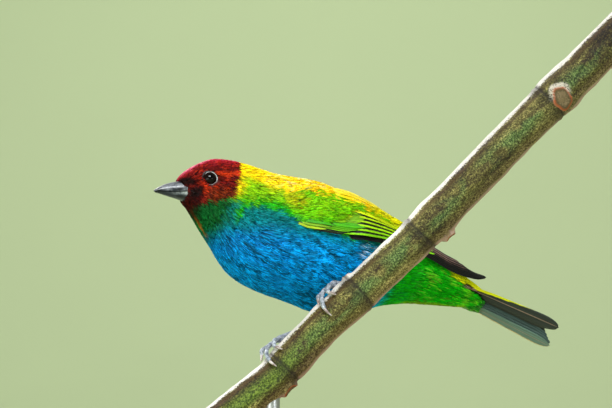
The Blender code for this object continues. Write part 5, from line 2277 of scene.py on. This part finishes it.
JOINT = (0.0, -20.0, 1.2)
HIND = (JOINT, (1.3, -42.0, 1.2), (1.9, -66.0, 1.05), (2.2, -88.0, 1.0), (2.3, -106.0, 0.7))
LEGS = (
    Leg("left", 1.1, {
        "middle": (JOINT, (-2.8, 0.0, 1.5), (-5.3, 30.0, 1.1), (-6.4, 50.0, 1.05),
                   (-7.0, 66.0, 1.0), (-6.8, 88.0, 0.75)),
        "outer": (JOINT, (-2.8, -12.0, 1.5), (-5.4, 2.0, 1.4), (-6.5, 22.0, 1.05),
                  (-7.6, 42.0, 0.75)),
        "inner": (JOINT, (-1.0, 2.0, 1.4), (-2.5, 22.0, 1.1), (-2.3, 38.0, 1.0),
                  (-1.5, 54.0, 0.7)),
        "hind": HIND,
    }),
    Leg("right", -14.9, {
        "middle": (JOINT, (-3.2, 0.0, 1.6), (-5.3, 18.0, 1.2), (-6.2, 38.0, 1.05),
                   (-6.6, 58.0, 1.0), (-6.3, 76.0, 0.7)),
        "outer": (JOINT, (-2.9, -14.0, 1.7), (-5.6, -4.0, 2.3), (-7.2, 6.0, 1.2),
                  (-8.3, 22.0, 0.7)),
        "inner": (JOINT, (-0.9, 3.0, 1.4), (-2.2, 24.0, 1.1), (-2.1, 40.0, 1.0),
                  (-1.4, 56.0, 0.7)),
        "hind": HIND,
    }),
)


@dataclass(frozen=True)
class Stand:
    """The plain oval base and the rod under the branch; sizes in millimetres."""

    length: float = 120.0
    width: float = 84.0
    height: float = 8.0
    bevel: float = 1.2
    rod_x: float = -21.9
    rod_radius: float = 2.4
    rod_sunk: float = 5.4
    crease: float = 30.0

    def build(self, wood: Material, steel: Material) -> None:
        """Build base, rod and collar.

        Args:
            wood: Finish of the base.
            steel: Finish of rod and collar.
        """
        clear_selection()
        bpy.ops.mesh.primitive_cylinder_add(
            vertices=144, radius=0.5, depth=self.height * MM,
            location=(0.0, 0.0, self.height / 2 * MM), scale=(self.length * MM, self.width * MM, 1))
        bpy.ops.object.transform_apply(location=False, rotation=False, scale=True)
        round_off = bpy.context.object.modifiers.new("round", "BEVEL")
        round_off.width = self.bevel * MM
        round_off.segments = 4
        round_off.limit_method = "ANGLE"
        dressed(settled("oval_base", wood, self.crease), "base_wood", "stand_base")
        top = float(BRANCH.axis(np.array([self.rod_x]))[0, 2]) - self.rod_sunk
        clear_selection()
        bpy.ops.mesh.primitive_cylinder_add(
            vertices=64, radius=self.rod_radius * MM, depth=(top - self.height) * MM,
            location=(self.rod_x * MM, BRANCH.depth * MM, (self.height + top) / 2 * MM))
        dressed(settled("steel_rod", steel, self.crease), "rod_steel", "stand_rod")
        clear_selection()
        bpy.ops.mesh.primitive_torus_add(
            major_radius=(self.rod_radius + 0.6) * MM, minor_radius=0.8 * MM,
            major_segments=64, minor_segments=16,
            location=(self.rod_x * MM, BRANCH.depth * MM, (self.height + 0.5) * MM))
        dressed(settled("rod_collar", steel), "rod_steel")


class Light(Enum):
    """The studio's soft lights: place, target, size, power and colour."""

    KEY = ((-0.22, -1.0, 1.15), (-0.01, 0.0, 0.09), 0.6, 19.0, (1.0, 0.99, 0.97))
    RIM = ((-0.6, 0.75, 1.0), (-0.01, 0.0, 0.09), 0.5, 17.0, (1.0, 1.0, 1.0))
    FILL = ((0.9, -1.0, 0.12), (-0.01, 0.0, 0.08), 0.4, 3.4, (0.95, 0.98, 1.0))
    BACKDROP = ((0.0, 2.3, 1.9), (0.0, 3.3, 0.3), 1.2, 21.0, (0.98, 1.0, 0.98))
    CATCH = ((0.08, -1.0, 1.16), (-0.01, 0.0, 0.09), 0.5, 34.0, (0.9, 0.95, 1.0))
    LOW = ((-0.5, -0.8, 0.03), (-0.01, 0.0, 0.07), 0.6, 4.2, (0.97, 1.0, 0.95))

    def place(self) -> None:
        """Add the light to the scene; CATCH only shows as a highlight."""
        spot, target, size, power, colour = self.value
        lamp = bpy.data.lights.new(self.name.lower(), "AREA")
        lamp.shape = "DISK"
        lamp.size = size
        lamp.energy = power
        lamp.color = colour
        holder = bpy.data.objects.new(self.name.lower(), lamp)
        holder.location = spot
        holder.visible_diffuse = self is not Light.CATCH
        heading = Vector(target) - Vector(spot)
        holder.rotation_euler = heading.to_track_quat("-Z", "Y").to_euler()
        bpy.context.scene.collection.objects.link(holder)


@dataclass(frozen=True)
class Studio:
    """Floor, backdrop, soft light and camera."""

    target: Point = (-0.0117, -0.02, 0.0876)
    distance: float = 0.9
    tilt: float = -4.5
    lens: float = 176.47
    sensor: float = 36.0
    sky: Tone = (226, 232, 214)
    sky_strength: float = 0.42
    paper: Tone = (188, 201, 162)
    curve_radius: float = 0.9
    curve_steps: int = 12

    def sweep(self) -> None:
        """Build the floor that curves up into a backdrop behind the bird."""
        clear_selection()
        bpy.ops.mesh.primitive_plane_add(size=6.0, location=(0.0, -0.6, -0.0005))
        floor = bpy.context.object
        bpy.ops.object.mode_set(mode="EDIT")
        bpy.ops.mesh.select_all(action="DESELECT")
        for edge in bmesh.from_edit_mesh(floor.data).edges:
            edge.select = all(vert.co.y > 2.9 for vert in edge.verts)
        bmesh.update_edit_mesh(floor.data)
        turns = [math.pi / 2 * step / self.curve_steps for step in range(self.curve_steps + 1)]
        moves = [(0.0, self.curve_radius * (math.sin(high) - math.sin(low)),
                  self.curve_radius * (math.cos(low) - math.cos(high)))
                 for low, high in zip(turns, turns[1:])]
        for move in (*moves, (0.0, 0.0, 3.0)):
            bpy.ops.mesh.extrude_region_move(TRANSFORM_OT_translate={"value": move})
        bpy.ops.object.mode_set(mode="OBJECT")
        piece = settled("studio_floor", PaperFinish("studio_paper", self.paper).make())
        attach(piece, "root")

    def camera(self) -> None:
        """Add the camera at the photograph's place."""
        tilt = math.radians(self.tilt)
        view = Vector((0.0, math.cos(tilt), -math.sin(tilt)))
        lens = bpy.data.cameras.new("camera")
        lens.lens = self.lens
        lens.sensor_width = self.sensor
        lens.clip_start = 0.01
        holder = bpy.data.objects.new("camera", lens)
        holder.location = Vector(self.target) - view * self.distance
        holder.rotation_euler = view.to_track_quat("-Z", "Y").to_euler()
        bpy.context.scene.collection.objects.link(holder)
        bpy.context.scene.camera = holder

    def world(self) -> None:
        """Give the world an even pale light."""
        sky = bpy.data.worlds.new("studio_sky")
        sky.use_nodes = True
        ground = sky.node_tree.nodes["Background"]
        ground.inputs["Color"].default_value = (*linear(*self.sky), 1.0)
        ground.inputs["Strength"].default_value = self.sky_strength
        bpy.context.scene.world = sky
        bpy.context.scene.view_settings.view_transform = "Standard"

    def build(self) -> None:
        """Build the whole studio."""
        self.sweep()
        self.camera()
        self.world()
        for light in Light:
            light.place()


def main() -> None:
    """Build the bird, its branch, the stand and the studio."""
    logging.basicConfig(level=logging.INFO, format="%(name)s %(message)s")
    Studio().build()
    plumage = Plumage()
    feathers = CoatFinish("plumage").make()
    plumage.skin(feathers)
    for coat in plumage.coats():
        coat.build(feathers)
    vane = VaneFinish("flight_feathers").make()
    for side, word in SIDES:
        WingDress(FoldedWing(side), word).build(vane)
    TailDress().build(VaneFinish("tail_vanes", (168, 142, 128)).make())
    Face().build()
    scales = SkinFinish("foot_scales", (84, 94, 112), (206, 214, 228), 0.7, 0.35).make()
    horn = SkinFinish("claw_horn", (112, 84, 78), (212, 204, 204), 0.0, 0.25).make()
    for leg in LEGS:
        leg.build(scales, horn)
    BRANCH.build(BarkFinish("branch_bark").make())
    Stand().build(WoodFinish("base_wood").make(), SteelFinish("rod_steel").make())


if __name__ == "__main__":
    main()
